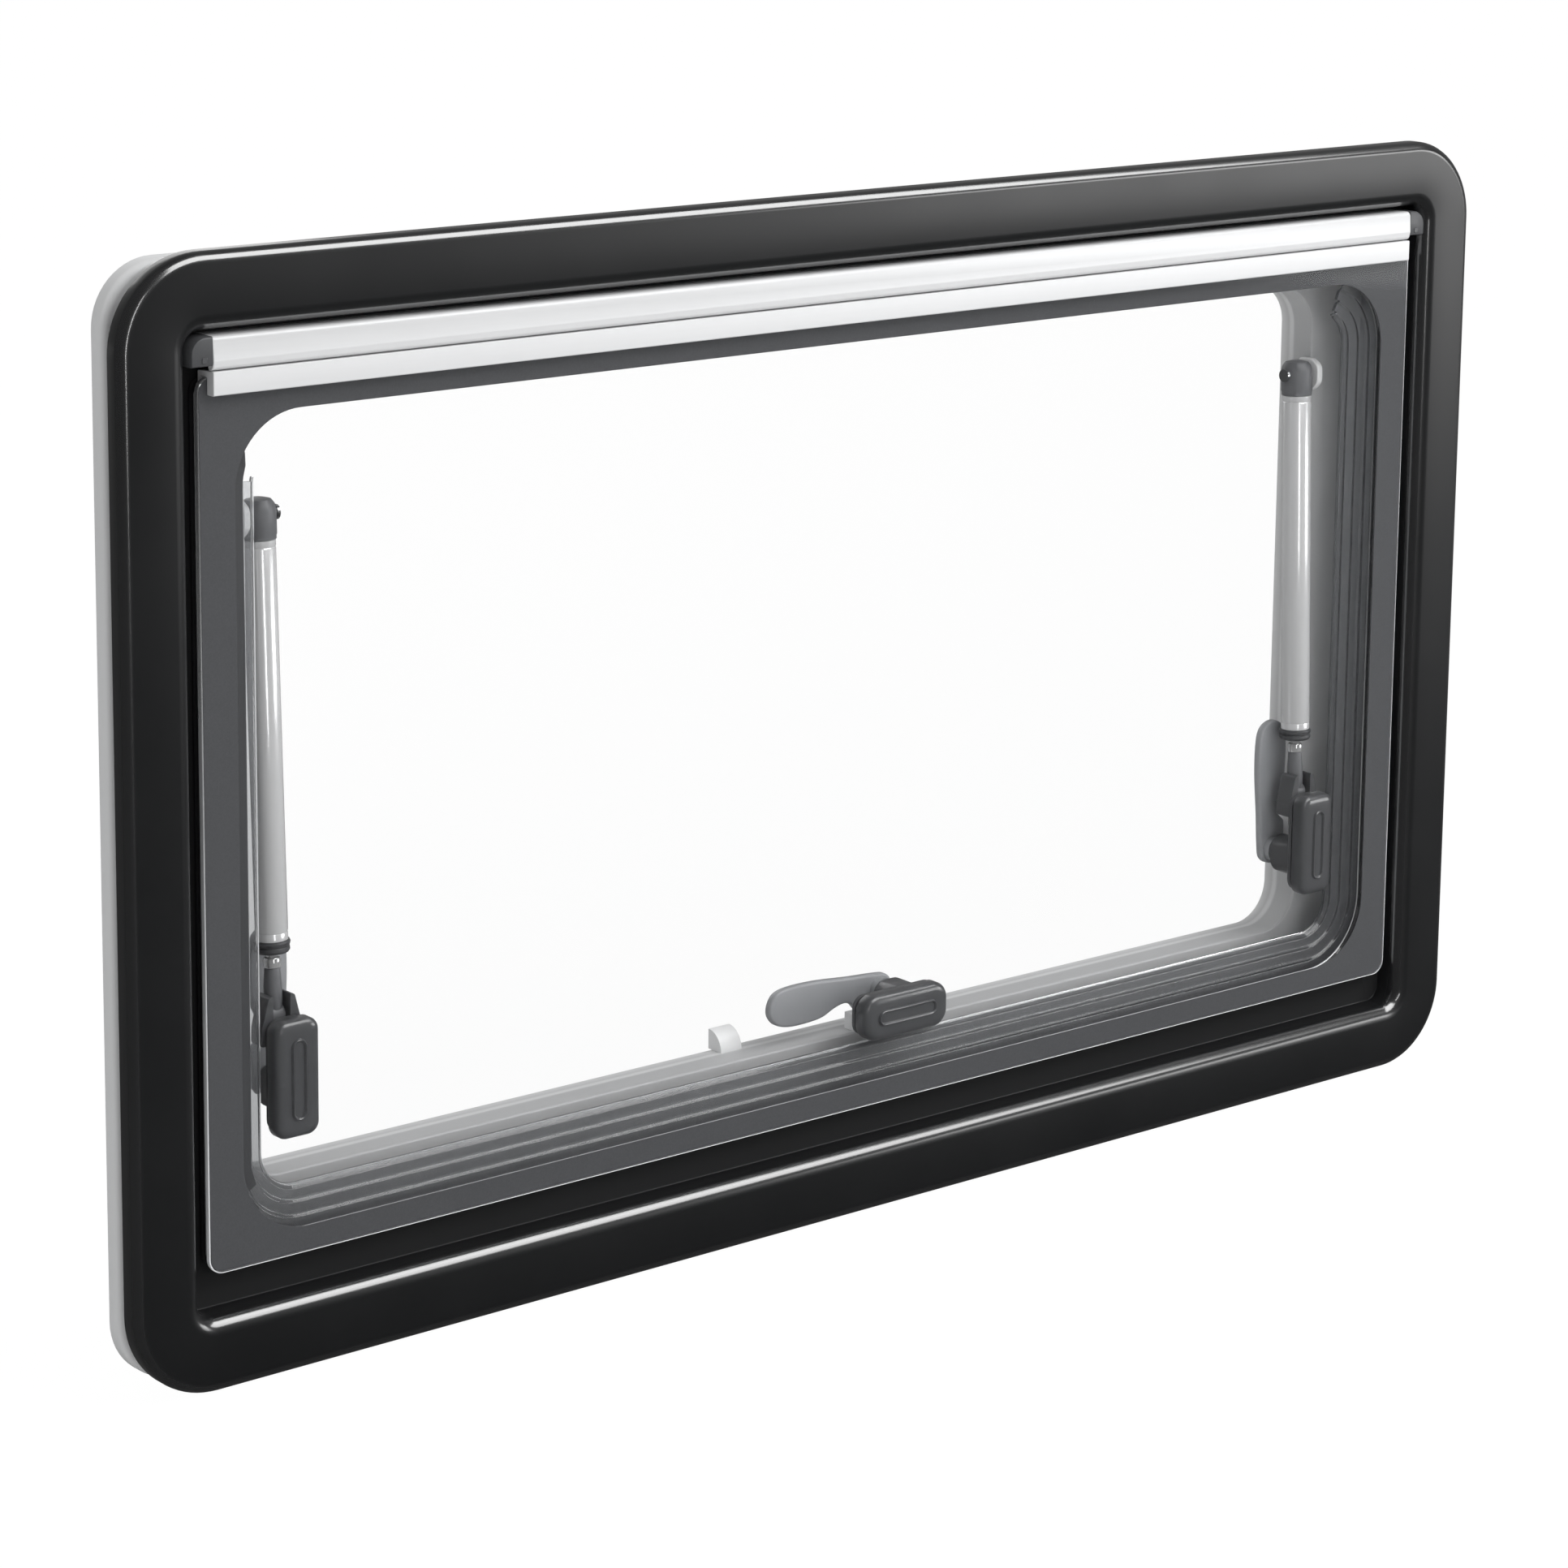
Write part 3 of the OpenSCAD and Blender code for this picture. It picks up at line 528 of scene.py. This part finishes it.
# The upper section's lip curls back round the hinge line, so that the lower section can turn past it.
upper = rounded_section([(510.4, 5.9, 0.5), (510.4, -10.2, 2.4), (498.9, -10.9, 3.0), (496.0, -10.3, 2.0),
    (495.05, -9.5, 1.2), (494.4, -8.4, 1.0), (494.16, -7.2, 0.6), (494.2, -6.6, 0.3), (500.9, -4.0, 0.4),
    (500.9, 5.9, 0.5)])
lower = rounded_section([(493.9, -4.6, 0.3), (493.9, -10.5, 0.35), (482.8, -10.5, 0.9), (482.5, -9.6, 0.4),
    (482.5, -5.05, 0.2), (482.6, -5.05, 0), (491.2, -5.05, 0.2), (491.2, 1.4, 0.2), (482.5, 1.5, 0.2),
    (482.5, 3.4, 0.5), (493.5, 3.4, 0.5)], steps=4)
hinge_section("hinge_upper_section", upper, "frame", "hinge_rail")
hinge_section("hinge_lower_section", lower, "sash", "sash_profile")

# ---------- outer pane ----------
bm = bmesh.new()
highlight_mark = bm.verts.layers.float.new("edge")
rim = ((0.7, -5.0), (0.5, -5.0), (0.15, -4.85), (0, -4.5), (0, -2.5), (0.15, -2.15), (0.5, -2.0), (0.7, -2.0))
# Painted highlight along the sheet's rim: brightest along the bottom, less on the right, least on the left.
for row in stacked(bm, [ring(PANE, inset, depth, 8) for inset, depth in rim])[1:-1]:
    for v in row:
        v[highlight_mark] = 1.0 if v.co.z < 0.06 else 0.3 if v.co.x < 0 else 0.75
finish_piece("outer_sheet", bm, CLEAR_FRONT, "sash", replaces=("outer_pane",), slot="clear_acrylic", smooth=20)

# ---------- inner pane ----------
# Its section is (offset in from the clear field's outline, depth, rounding): a flange, four steps and the flat.
SHEET = 2.0                             # thickness
FLANGE_START, FLANGE_BLEND = -3, 13.0   # the rings turn into the pane's own outline over this reach
PANE_STEPS = 16                         # parts of each corner
LEFT_WALL, RIGHT_WALL = -345, 372       # x where the two side walls' own finishes begin
TOP_TURN, BOTTOM_TURN = 435, 107        # heights between which the left wall's painted shade has its full reach
SHADE_WALL_REACH, SHADE_WALL_NONE = 10.4, -3.0    # offsets where the painted shade ends, and where it would be if there were none
UPPER = 250                             # height from which the painted shade's end fades
LIT_HEIGHT, LIT_LEFT = 118, -368        # the lower wall's first step is light below and to the right of these, with a painted shade line beside it
LIGHT_STEP, DARK_STEP, PALE_LINE = (-1.7, -0.4), (-2.8, -1.7), (3.4, 4.9)      # offsets: the light step, the painted shade line beside it, and a light gap in the left wall's painted shade
CLEAR_FACE, WALL_FACE, SHADE_WALL_FACE = 0, 1, 2


def spot(place):
    """A mesh point's x and height in millimetres."""
    return place.x * 1000, place.z * 1000 + LIFT


def formed_ring(offset, depth):
    """A ring along the clear field's outline, or on the flange, between it and the pane's."""
    if offset > FLANGE_START:
        return ring(CLEAR, offset, depth, PANE_STEPS)
    share = min((FLANGE_START - offset) / FLANGE_BLEND, 1)
    field = [inset + FLANGE_START for inset in CLEAR[:3]] + [CLEAR[3] - FLANGE_START]
    flange = [inset + 2 for inset in PANE[:3]] + [8]
    return ring([c + (p - c) * share for c, p in zip(field, flange)], 0, depth, PANE_STEPS)


def painted_wall_shade(place):
    """How much painted shade the formed wall gets: most along the bottom, none along the top but for the right corner.
    """
    x, height = spot(place)
    below_top = 1.0 if x > 358.5 else rise(height, 440, 410)
    return below_top * (0.2 + 0.36 * rise(height, 130, 100))


def shade_wall_reach(place):
    """How far in the left wall's painted shade reaches, tapering off round both left corners."""
    x, height = spot(place)
    if x > -340:
        return SHADE_WALL_NONE
    turn = math.degrees(math.atan2(max(height - TOP_TURN, BOTTOM_TURN - height, 0), -348.5 - x))
    share = rise(turn, 18, 60)
    return SHADE_WALL_REACH - (SHADE_WALL_REACH - SHADE_WALL_NONE) * share * share * (3 - 2 * share)


def wall_finish(middle, offset, front_face):
    """Which of the pane's materials a face has; the dark wall material is painted shade."""
    x, height = spot(middle)
    lit = front_face and ((height < LIT_HEIGHT and x > LIT_LEFT) or x > RIGHT_WALL)
    if lit and LIGHT_STEP[0] < offset < LIGHT_STEP[1]:
        return CLEAR_FACE
    if lit and DARK_STEP[0] < offset <= DARK_STEP[1] and x < RIGHT_WALL:
        return SHADE_WALL_FACE
    reach = shade_wall_reach(middle) + (1.2 if height > UPPER else 0)
    pale_line = height <= TOP_TURN and PALE_LINE[0] < offset < PALE_LINE[1]
    # Painted shade on the left wall, with a light gap left along the pale line.
    if x < LEFT_WALL and offset < reach and not pale_line:
        return SHADE_WALL_FACE
    return WALL_FACE if painted_wall_shade(middle) > 0.01 else CLEAR_FACE


def step_highlight(place):
    """The painted highlight line along the first step: the bottom, fading toward the left corner, and the right side.
    """
    x, height = spot(place)
    if x < 360:
        return min(rise(height, 125, 105), rise(x, -370, -340))
    return min(max((330 - height) / 200, 0.15), 0.8)


def formed_rows(section, front_face):
    rows = bridge(bm, [formed_ring(offset, depth) for offset, depth in section])
    for row, (offset, _) in zip(rows, section):
        for v in row:
            height = spot(v.co)[1]
            # Painted shade on the formed wall.
            v[shade_mark] = painted_wall_shade(v.co)
            v[quiet_mark] = 1.0 if offset > FLANGE_START and height > 436 else 0.0
            v[shade_wall_mark] = shade_wall_reach(v.co) - offset if height > UPPER else 5.0
            # Painted highlight along the first step.
            if front_face and -1.6 < offset < -0.3:
                v[highlight_mark] = step_highlight(v.co)
    for one, two, (start, _), (end, _) in zip(rows, rows[1:], section, section[1:]):
        if start > -3.2 and end < 19.6:
            both = set(one) | set(two)
            for face in {face for v in one for face in v.link_faces if all(w in both for w in face.verts)}:
                face.material_index = wall_finish(face.calc_center_median(), (start + end) / 2, front_face)
    return rows


bm = bmesh.new()
highlight_mark, shade_mark, quiet_mark, shade_wall_mark = (bm.verts.layers.float.new(mark)
    for mark in ("edge", "shade", "quiet", "shade_cover"))
front = rounded_section([(-16.0, -0.5, 0), (-2.6, -0.5, 0.9), (-1.4, 1.2, 0.9), (3.6, 1.7, 0.9), (4.8, 3.2, 0.9),
    (10.4, 3.7, 0.9), (11.6, 5.2, 0.9), (16.6, 5.6, 0.9), (18.4, 8.0, 1.2), (22, 8.0, 0)], closed=False, steps=4)
rows = formed_rows(front, True)
rows_back = formed_rows([(offset, depth + SHEET) for offset, depth in front], False)
bm.faces.new(rows[-1])
bm.faces.new(rows_back[-1])
# The flange's rim closes the sheet and carries a painted highlight.
for i in range(len(rows[0])):
    j = (i + 1) % len(rows[0])
    bm.faces.new((rows[0][i], rows[0][j], rows_back[0][j], rows_back[0][i]))
    rows[0][i][highlight_mark] = rows_back[0][i][highlight_mark] = 0.6
inner_sheet = finish_piece("inner_sheet", bm, CLEAR_BACK, "sash",
    replaces=("inner_pane",), slot="clear_acrylic", smooth=30)
inner_sheet.data.materials.append(BENT)
inner_sheet.data.materials.append(SHADE_WALL)

# ---------- bonding strip ----------
bm = bmesh.new()
inner_edge = [ring(CLEAR, i, d, PANE_STEPS) for i, d in ((1.0, -4.6), (1.2, -4.4), (-2.6, -0.7), (-2.9, -0.55))]
outer_edge = [ring(PANE, i, d, PANE_STEPS) for i, d in ((1.2, -0.55), (1.0, -0.7), (1.0, -4.4), (1.2, -4.6))]
bridge(bm, inner_edge + outer_edge, closed_section=True)
finish_piece("bonding_strip", bm, BOND, "sash", replaces=("bond_strip",), slot="bond_rubber", smooth=30)

# ---------- CAD pieces that keep their shape ----------
for material, nodes in ((PIN, ("upper_pin_left", "upper_pin_right", "lower_pin_left", "lower_pin_right")),
        (CATCH_WHITE, ("catch_left", "catch_right", "catch_lower", "blind_clip"))):
    for node in nodes:
        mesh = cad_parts[node].data
        mesh.materials.clear()
        mesh.materials.append(material)

# ---------- latch pads ----------
SLOT_LONG, SLOT_NARROW, SLOT_CORNER = 38.0, 5.6, 2.8


def pad(name, cx, cz, w, h, round_end, node):
    """A latch pad with a crowned face and a long raised slot rim."""
    bm = bmesh.new()
    levels = [(0.2, 8.0), (0, 7.4), (0, 2.4), (0.25, 1.5), (0.8, 0.6), (1.6, 0.0), (2.8, -0.5), (4.4, -0.75),
        (6.5, -0.85)]
    stacked(bm, [plaque(cx, cz, w - 2 * inset, h - 2 * inset, max(round_end - inset, 1.5), depth, 10)
        for inset, depth in levels])
    sw, sh = (SLOT_NARROW, SLOT_LONG) if h > w else (SLOT_LONG, SLOT_NARROW)
    rim = [(1.7, -0.7), (1.35, -1.6), (0.9, -1.95), (0.4, -1.7), (0, -0.9), (-0.8, -0.6)]
    stacked(bm, [plaque(cx, cz, sw + 2 * grow, sh + 2 * grow, SLOT_CORNER + grow, depth, 10) for grow, depth in rim],
        first=False)
    finish_piece(name, bm, PAD, "sash", replaces=(node,), slot="grey_plastic", smooth=40)


pad("left_pad", -351, 143, 25, 59, 6.5, "pad_left")
pad("right_pad", 351, 143, 25, 59, 6.5, "pad_right")
pad("lower_pad", 37, 102, 59, 25, 9.5, "pad_lower")


# ---------- levers and latch bodies ----------
def curve_through(points, steps=6):
    """A smooth closed line through flat points."""
    out, count = [], len(points)
    for i in range(count):
        p0, p1, p2, p3 = (Vector(points[(i + k) % count]) for k in (-1, 0, 1, 2))
        for k in range(steps):
            t = k / steps
            out.append(0.5 * ((2 * p1) + (p2 - p0) * t + (2 * p0 - 5 * p1 + 4 * p2 - p3) * t * t
                + (3 * p1 - p0 - 3 * p2 + p3) * t ** 3))
    return out


def shrunk(points, amount):
    """A flat closed line moved inward."""
    after = points[1:] + points[:1]
    way = 1 if sum(p.x * q.y - q.x * p.y for p, q in zip(points, after)) > 0 else -1
    out = []
    for before, p, q in zip(points[-1:] + points[:-1], points, after):
        along_line = (q - before).normalized()
        out.append(p + Vector((-along_line.y, along_line.x)) * amount * way)
    return out


def loft(bm, place, outline, levels):
    stacked(bm, [[at(*place(p.x, p.y), depth) for p in shrunk(outline, inset)] for inset, depth in levels])


def fuller(x, y):
    """The lever's blade beyond the hub, widened and stretched a little."""
    share = rise(y, 14, 34)
    return (x * (1 + (0.2 if x < 0 else 0.1) * share), y + 5.0 * share)


# From each latch's flat frame, with the blade along y from the spindle, to x and height on the window.
PLACES = {"left": lambda x, y: (-348 - x, 134 + y), "right": lambda x, y: (348 + x, 134 + y),
    "lower": lambda x, y: (46 - y, 105 - x)}
WING = [(9.2, -1.6), (9.6, 2), (9.6, 13.5), (8.6, 16), (5.2, 18.5), (3.4, 22.5), (4.6, 28), (7.6, 35), (8.7, 45),
    (8.6, 58), (6.4, 67), (1.6, 71.6), (-3.8, 71.6), (-8.6, 67.4), (-10.4, 58), (-10.4, 40), (-9.8, 20), (-9.2, 4),
    (-7.6, -5), (-2, -8.8), (4, -8), (7.4, -4.4)]
BLADE = curve_through([fuller(*point) for point in WING])
HUB = [Vector((7 * math.cos(a), 7 * math.sin(a))) for a in (2 * math.pi * i / 36 for i in range(36))]
THUMB = curve_through([(3, 40), (3.4, 50), (2.4, 60), (-1, 62), (-4.6, 60), (-5.4, 50), (-5, 40), (-1, 37.6)])

for word, place in PLACES.items():
    bm = bmesh.new()
    loft(bm, place, BLADE, [(1.5, 33.0), (0.6, 33.15), (0.1, 33.7), (0, 34.6), (0, 36.6), (0.3, 37.4), (1.2, 38.0)])
    loft(bm, place, HUB, [(0, 29.2), (0, 33.1)])
    finish_piece(f"{word}_lever", bm, LEVER, f"{word}_latch",
        replaces=(f"lever_{word}",), slot="lever_plastic", smooth=40)
    bm = bmesh.new()
    loft(bm, place, THUMB, [(0, 37.9), (0, 39.8), (0.4, 40.6), (1.4, 41.0)])
    finish_piece(f"{word}_button", bm, BUTTON, f"{word}_latch",
        replaces=(f"button_{word}",), slot="button_plastic", smooth=40)

# Levels of the latch body: (x0, x1, y0, y1, corner radius, depth) in the latch's own flat frame.
BASE_PLATE = ((-8.0, 13.6, -19.4, 37.4, 7, 10.0), (-8.2, 13.8, -19.5, 37.5, 7.1, 12.0),
    (-7.4, 13.0, -18.6, 36.6, 6.4, 13.0))
SPINDLE_BLOCK = ((-7.5, 9.5, -12, 10, 8, 12.8), (-7.5, 9.5, -12, 10, 8, 26.6), (-6.4, 8.4, -11, 9, 7, 28.2),
    (-4.4, 6.4, -9, 7, 5, 29.0))
STAY_X, STAY_TOP, STAY_FOOT = 352.0, (416.0, 29.0), (171.0, 20.0)     # pins of the stays, as (height, depth)

for word, place in PLACES.items():
    bm = bmesh.new()
    for levels in (BASE_PLATE, SPINDLE_BLOCK):
        stacked(bm, [[at(*place(x, y), depth) for x, y in rounded_box(*box, 7)] for *box, depth in levels])
    if word != "lower":
        middle = STAY_X * (-1 if word == "left" else 1)
        for way in (-1, 1):         # the two cheeks that hold the stay's foot
            cheek = rounded_section([(way * 4.9, 158, 0.5), (way * 11.5, 158, 0.5), (way * 11.5, 166, 2),
                (way * 7.4, 181.5, 1.4), (way * 4.9, 182.4, 0.6)], steps=4)
            stacked(bm, [[at(middle + p.x, p.y, depth) for p in drawn_in(cheek, (way * 7.6, 168), inset)]
                for inset, depth in ((0, 12.5), (0, 22.6), (0.4, 23.6), (1.2, 24.0))])
    finish_piece(f"{word}_latch_body", bm, LATCH, "sash",
        replaces=(f"latch_base_{word}",), slot="grey_plastic", smooth=40)

# ---------- stays ----------
ROD_SHOWN, COLLAR = 31, 6               # from the tube's end to the lower pin, and the collar's length


def turned_piece(name, material, body, node, slot, *turns):
    """A piece of turned shapes, each with its profile, origin, axis and number of sides."""
    bm = bmesh.new()
    for turn in turns:
        turned(bm, *turn)
    finish_piece(name, bm, material, body, replaces=(node,), slot=slot)


for side, word in SIDES:
    top = at(side * STAY_X, *STAY_TOP)
    foot = at(side * STAY_X, *STAY_FOOT)
    run = foot - top
    length = run.length * 1000
    end = length - ROD_SHOWN - COLLAR
    tube_body, rod_body = f"{word}_tube", f"{word}_rod"
    turned_piece(f"{word}_tube", TUBE, tube_body, f"stay_tube_{word}", "aluminium",
        ([(7.6, 12.0), (8.0, 12.0), (8.3, 12.3), (8.3, 15.0), (7.95, 15.6), (8.3, 16.2), (8.3, end - 5),
            (7.9, end - 4.2), (8.2, end - 3.4), (8.2, end - 0.4), (7.65, end), (7.65, 14)], top, run))
    turned_piece(f"{word}_tube_cap", STAYCAP, tube_body, f"stay_cap_{word}", "grey_plastic",
        ([(3.5, -8.0), (6.6, -7.2), (8.3, -5.0), (9.0, -2.0), (9.0, 9.4), (8.7, 10.0), (8.7, 11.8)], top, run))
    turned_piece(f"{word}_collar", CAP, tube_body, f"stay_collar_{word}", "grey_plastic",
        ([(7.6, end - 0.2), (8.9, end - 0.2), (9.3, end + 0.8), (8.9, end + 2.2), (8.3, end + 2.6), (8.9, end + 3.2),
            (9.0, end + 4.6), (8.2, end + 5.8), (7.6, end + 6.0)], top, run))
    turned_piece(f"{word}_rod", ROD, rod_body, f"stay_rod_{word}", "chrome_rod",
        ([(2.9, 23.5), (4.2, 23.6), (4.4, 24.4), (4.4, 27.6), (4.0, 28.4), (2.9, 28.8), (2.9, length - 82),
            (2.2, length - 80)], foot, -run, 28))
    turned_piece(f"{word}_rod_end", STAYCAP, rod_body, f"rod_end_{word}", "grey_plastic",
        ([(3.2, 1.0), (4.4, 3.0), (4.6, 8.0), (4.5, 14.0), (4.1, 19.0), (3.9, 22.6), (3.3, 23.8)], foot, -run, 32),
        ([(4.4, -4.0), (5.0, -3.6), (5.0, 3.6), (4.4, 4.0)], foot, (1, 0, 0), 28))
    bm = bmesh.new()
    lug = rounded_section([(402, 37, 3), (407, 25, 5), (411, 21.2, 6), (421, 21.2, 6), (424.2, 27, 4), (424.2, 37, 2)],
        steps=5)
    near, wall = side * 361.4, side * 364.9
    stacked(bm, [[at(x, *p) for p in drawn_in(lug, (415, 29), inset)]
        for x, inset in ((near, 0.5), (near + side * 0.5, 0), (wall, 0))])
    finish_piece(f"{word}_stay_lug", bm, CATCH_WHITE, "frame",
        replaces=(f"stay_lug_{word}",), slot="white_plastic", smooth=40)


# ---------- hinge caps ----------
def cap_outline(side, inset, depth):
    """A quarter-round outline at one end of the hinge."""
    inner = 400.0 + inset * 0.2
    radius = 8.0 - inset
    arc = [(403.5 + radius * math.cos(a), 502.5 + radius * math.sin(a))
        for a in (math.radians(9 * i) for i in range(11))]
    points = [(inner, 496.7 + inset), (411.5 - inset, 496.7 + inset), *arc, (inner, 510.5 - inset)]
    return [at(side * x, h, depth) for x, h in points]


for side, word in SIDES:
    bm = bmesh.new()
    stacked(bm, [cap_outline(side, inset, depth)
        for inset, depth in ((0, 6.0), (0, -9.4), (0.35, -10.2), (1.0, -10.5))])
    stacked(bm, [plaque(side * 404.6, 499.6, 3.2, 3.0, 0.6, -10.4, 3),
        plaque(side * 404.6, 499.6, 2.6, 2.4, 0.5, -10.9, 3)])
    finish_piece(f"{word}_hinge_cap", bm, CAP, "frame",
        replaces=(f"rail_cap_{word}",), slot="grey_plastic", smooth=40)

# ---------- stage ----------
# Camera and transmitted rays see white, and mirrors a dark studio that is a little paler behind the window.
# The lamps draw the bright lines on the black frame.
BEHIND = (0.63, 0.77, 0)                # the way that the camera looks
MIRROR_DARK, MIRROR_PALE = 0.06, 0.15
FLOOR_Z, FLOOR_REACH = -0.0126, 30

floor = Finish("pale floor", (0.85, 0.85, 0.85), 0.9)
rays = floor.node("ShaderNodeLightPath")
seen = floor.value(rays, "Is Camera Ray").most(floor.value(rays, "Is Transmission Ray"))
mirrored = floor.value(rays, "Is Glossy Ray")
spread = floor.node("ShaderNodeSeparateXYZ", None, {"Vector": floor.place})
behind = (floor.value(spread, "X") * BEHIND[0] + floor.value(spread, "Y") * BEHIND[1]).ramp(0.3, 1.6)
strength = (seen * 1.012).most(MIRROR_DARK + 0.09 * behind)
glow = floor.node("ShaderNodeEmission", None, {"Color": (1, 1, 1, 1), "Strength": strength})
floor.show(floor.node("ShaderNodeMixShader", None,
    {0: (seen * 0.975).most(mirrored), 1: floor.skin.outputs[0], 2: glow.outputs[0]}))

bm = bmesh.new()
bm.faces.new([bm.verts.new((x * FLOOR_REACH, y * FLOOR_REACH, FLOOR_Z))
    for x, y in ((-1, -1), (1, -1), (1, 1), (-1, 1))])
mesh = bpy.data.meshes.new("floor")
bm.to_mesh(mesh)
bm.free()
mesh.materials.append(floor.material)
add_object("floor", mesh)

world = bpy.data.worlds.new("studio")
bpy.context.scene.world = world
world.use_nodes = True
sky = Nodes(world.node_tree)
rays = sky.node("ShaderNodeLightPath")
seen = sky.value(rays, "Is Camera Ray").most(sky.value(rays, "Is Transmission Ray"))
toward = sky.node("ShaderNodeVectorMath", {"operation": "DOT_PRODUCT"},
    {0: sky.node("ShaderNodeTexCoord").outputs["Generated"], 1: BEHIND})
studio = sky.value(toward, "Value").ramp(0.15, 0.85, MIRROR_DARK, MIRROR_PALE)
ambient = sky.blend(sky.value(rays, "Is Glossy Ray"), 0.75, studio)
back = world.node_tree.nodes["Background"]
back.inputs["Color"].default_value = (1, 1, 1, 1)
sky.feed(back.inputs["Strength"], sky.blend(seen, ambient, 1.0))


def lamp(name, where, target, width, height, power):
    data = bpy.data.lights.new(name, "AREA")
    data.shape, data.size, data.size_y, data.energy = "RECTANGLE", width, height, power
    made = add_object(name, data)
    made.location = where
    made.rotation_euler = (Vector(target) - Vector(where)).to_track_quat("-Z", "Y").to_euler()


lamp("overhead softbox", (0.9, -1.35, 2.0), (0.3, 0, 0.3), 2.2, 1.6, 50)
lamp("front strip", (-0.75, -2.7, 0.7), (-0.1, 0, 0.3), 0.14, 1.8, 7)
lamp("right softbox", (2.75, -2.2, 0.5), (0.3, 0, 0.3), 1.5, 1.0, 24)
lamp("cabin side", (0.2, 2.2, 1.2), (0, 0, 0.2), 1.8, 1.2, 6)

# ---------- camera ----------
FOCAL_PIXELS, PHOTO_PIXELS, SENSOR = 5425.6, 1932, 36
yaw, pitch, roll = math.radians(39.39), math.radians(10.538), math.radians(0.593)
ahead = Vector((math.sin(yaw) * math.cos(pitch), math.cos(yaw) * math.cos(pitch), -math.sin(pitch)))
right = Vector((math.cos(yaw), -math.sin(yaw), 0))
up = right.cross(ahead)
right, up = right * math.cos(roll) + up * math.sin(roll), up * math.cos(roll) - right * math.sin(roll)
camera_data = bpy.data.cameras.new("camera")
camera_data.sensor_width = SENSOR
camera_data.lens = FOCAL_PIXELS * SENSOR / PHOTO_PIXELS
camera_data.shift_y = -0.2
camera_data.clip_start, camera_data.clip_end = 0.05, 100
camera = add_object("camera", camera_data)
camera.matrix_world = Matrix.Translation((-1.4615, -1.716, 0.809)) @ Matrix((right, up, -ahead)).transposed().to_4x4()
bpy.context.scene.camera = camera
bpy.context.scene.view_settings.view_transform = "Standard"
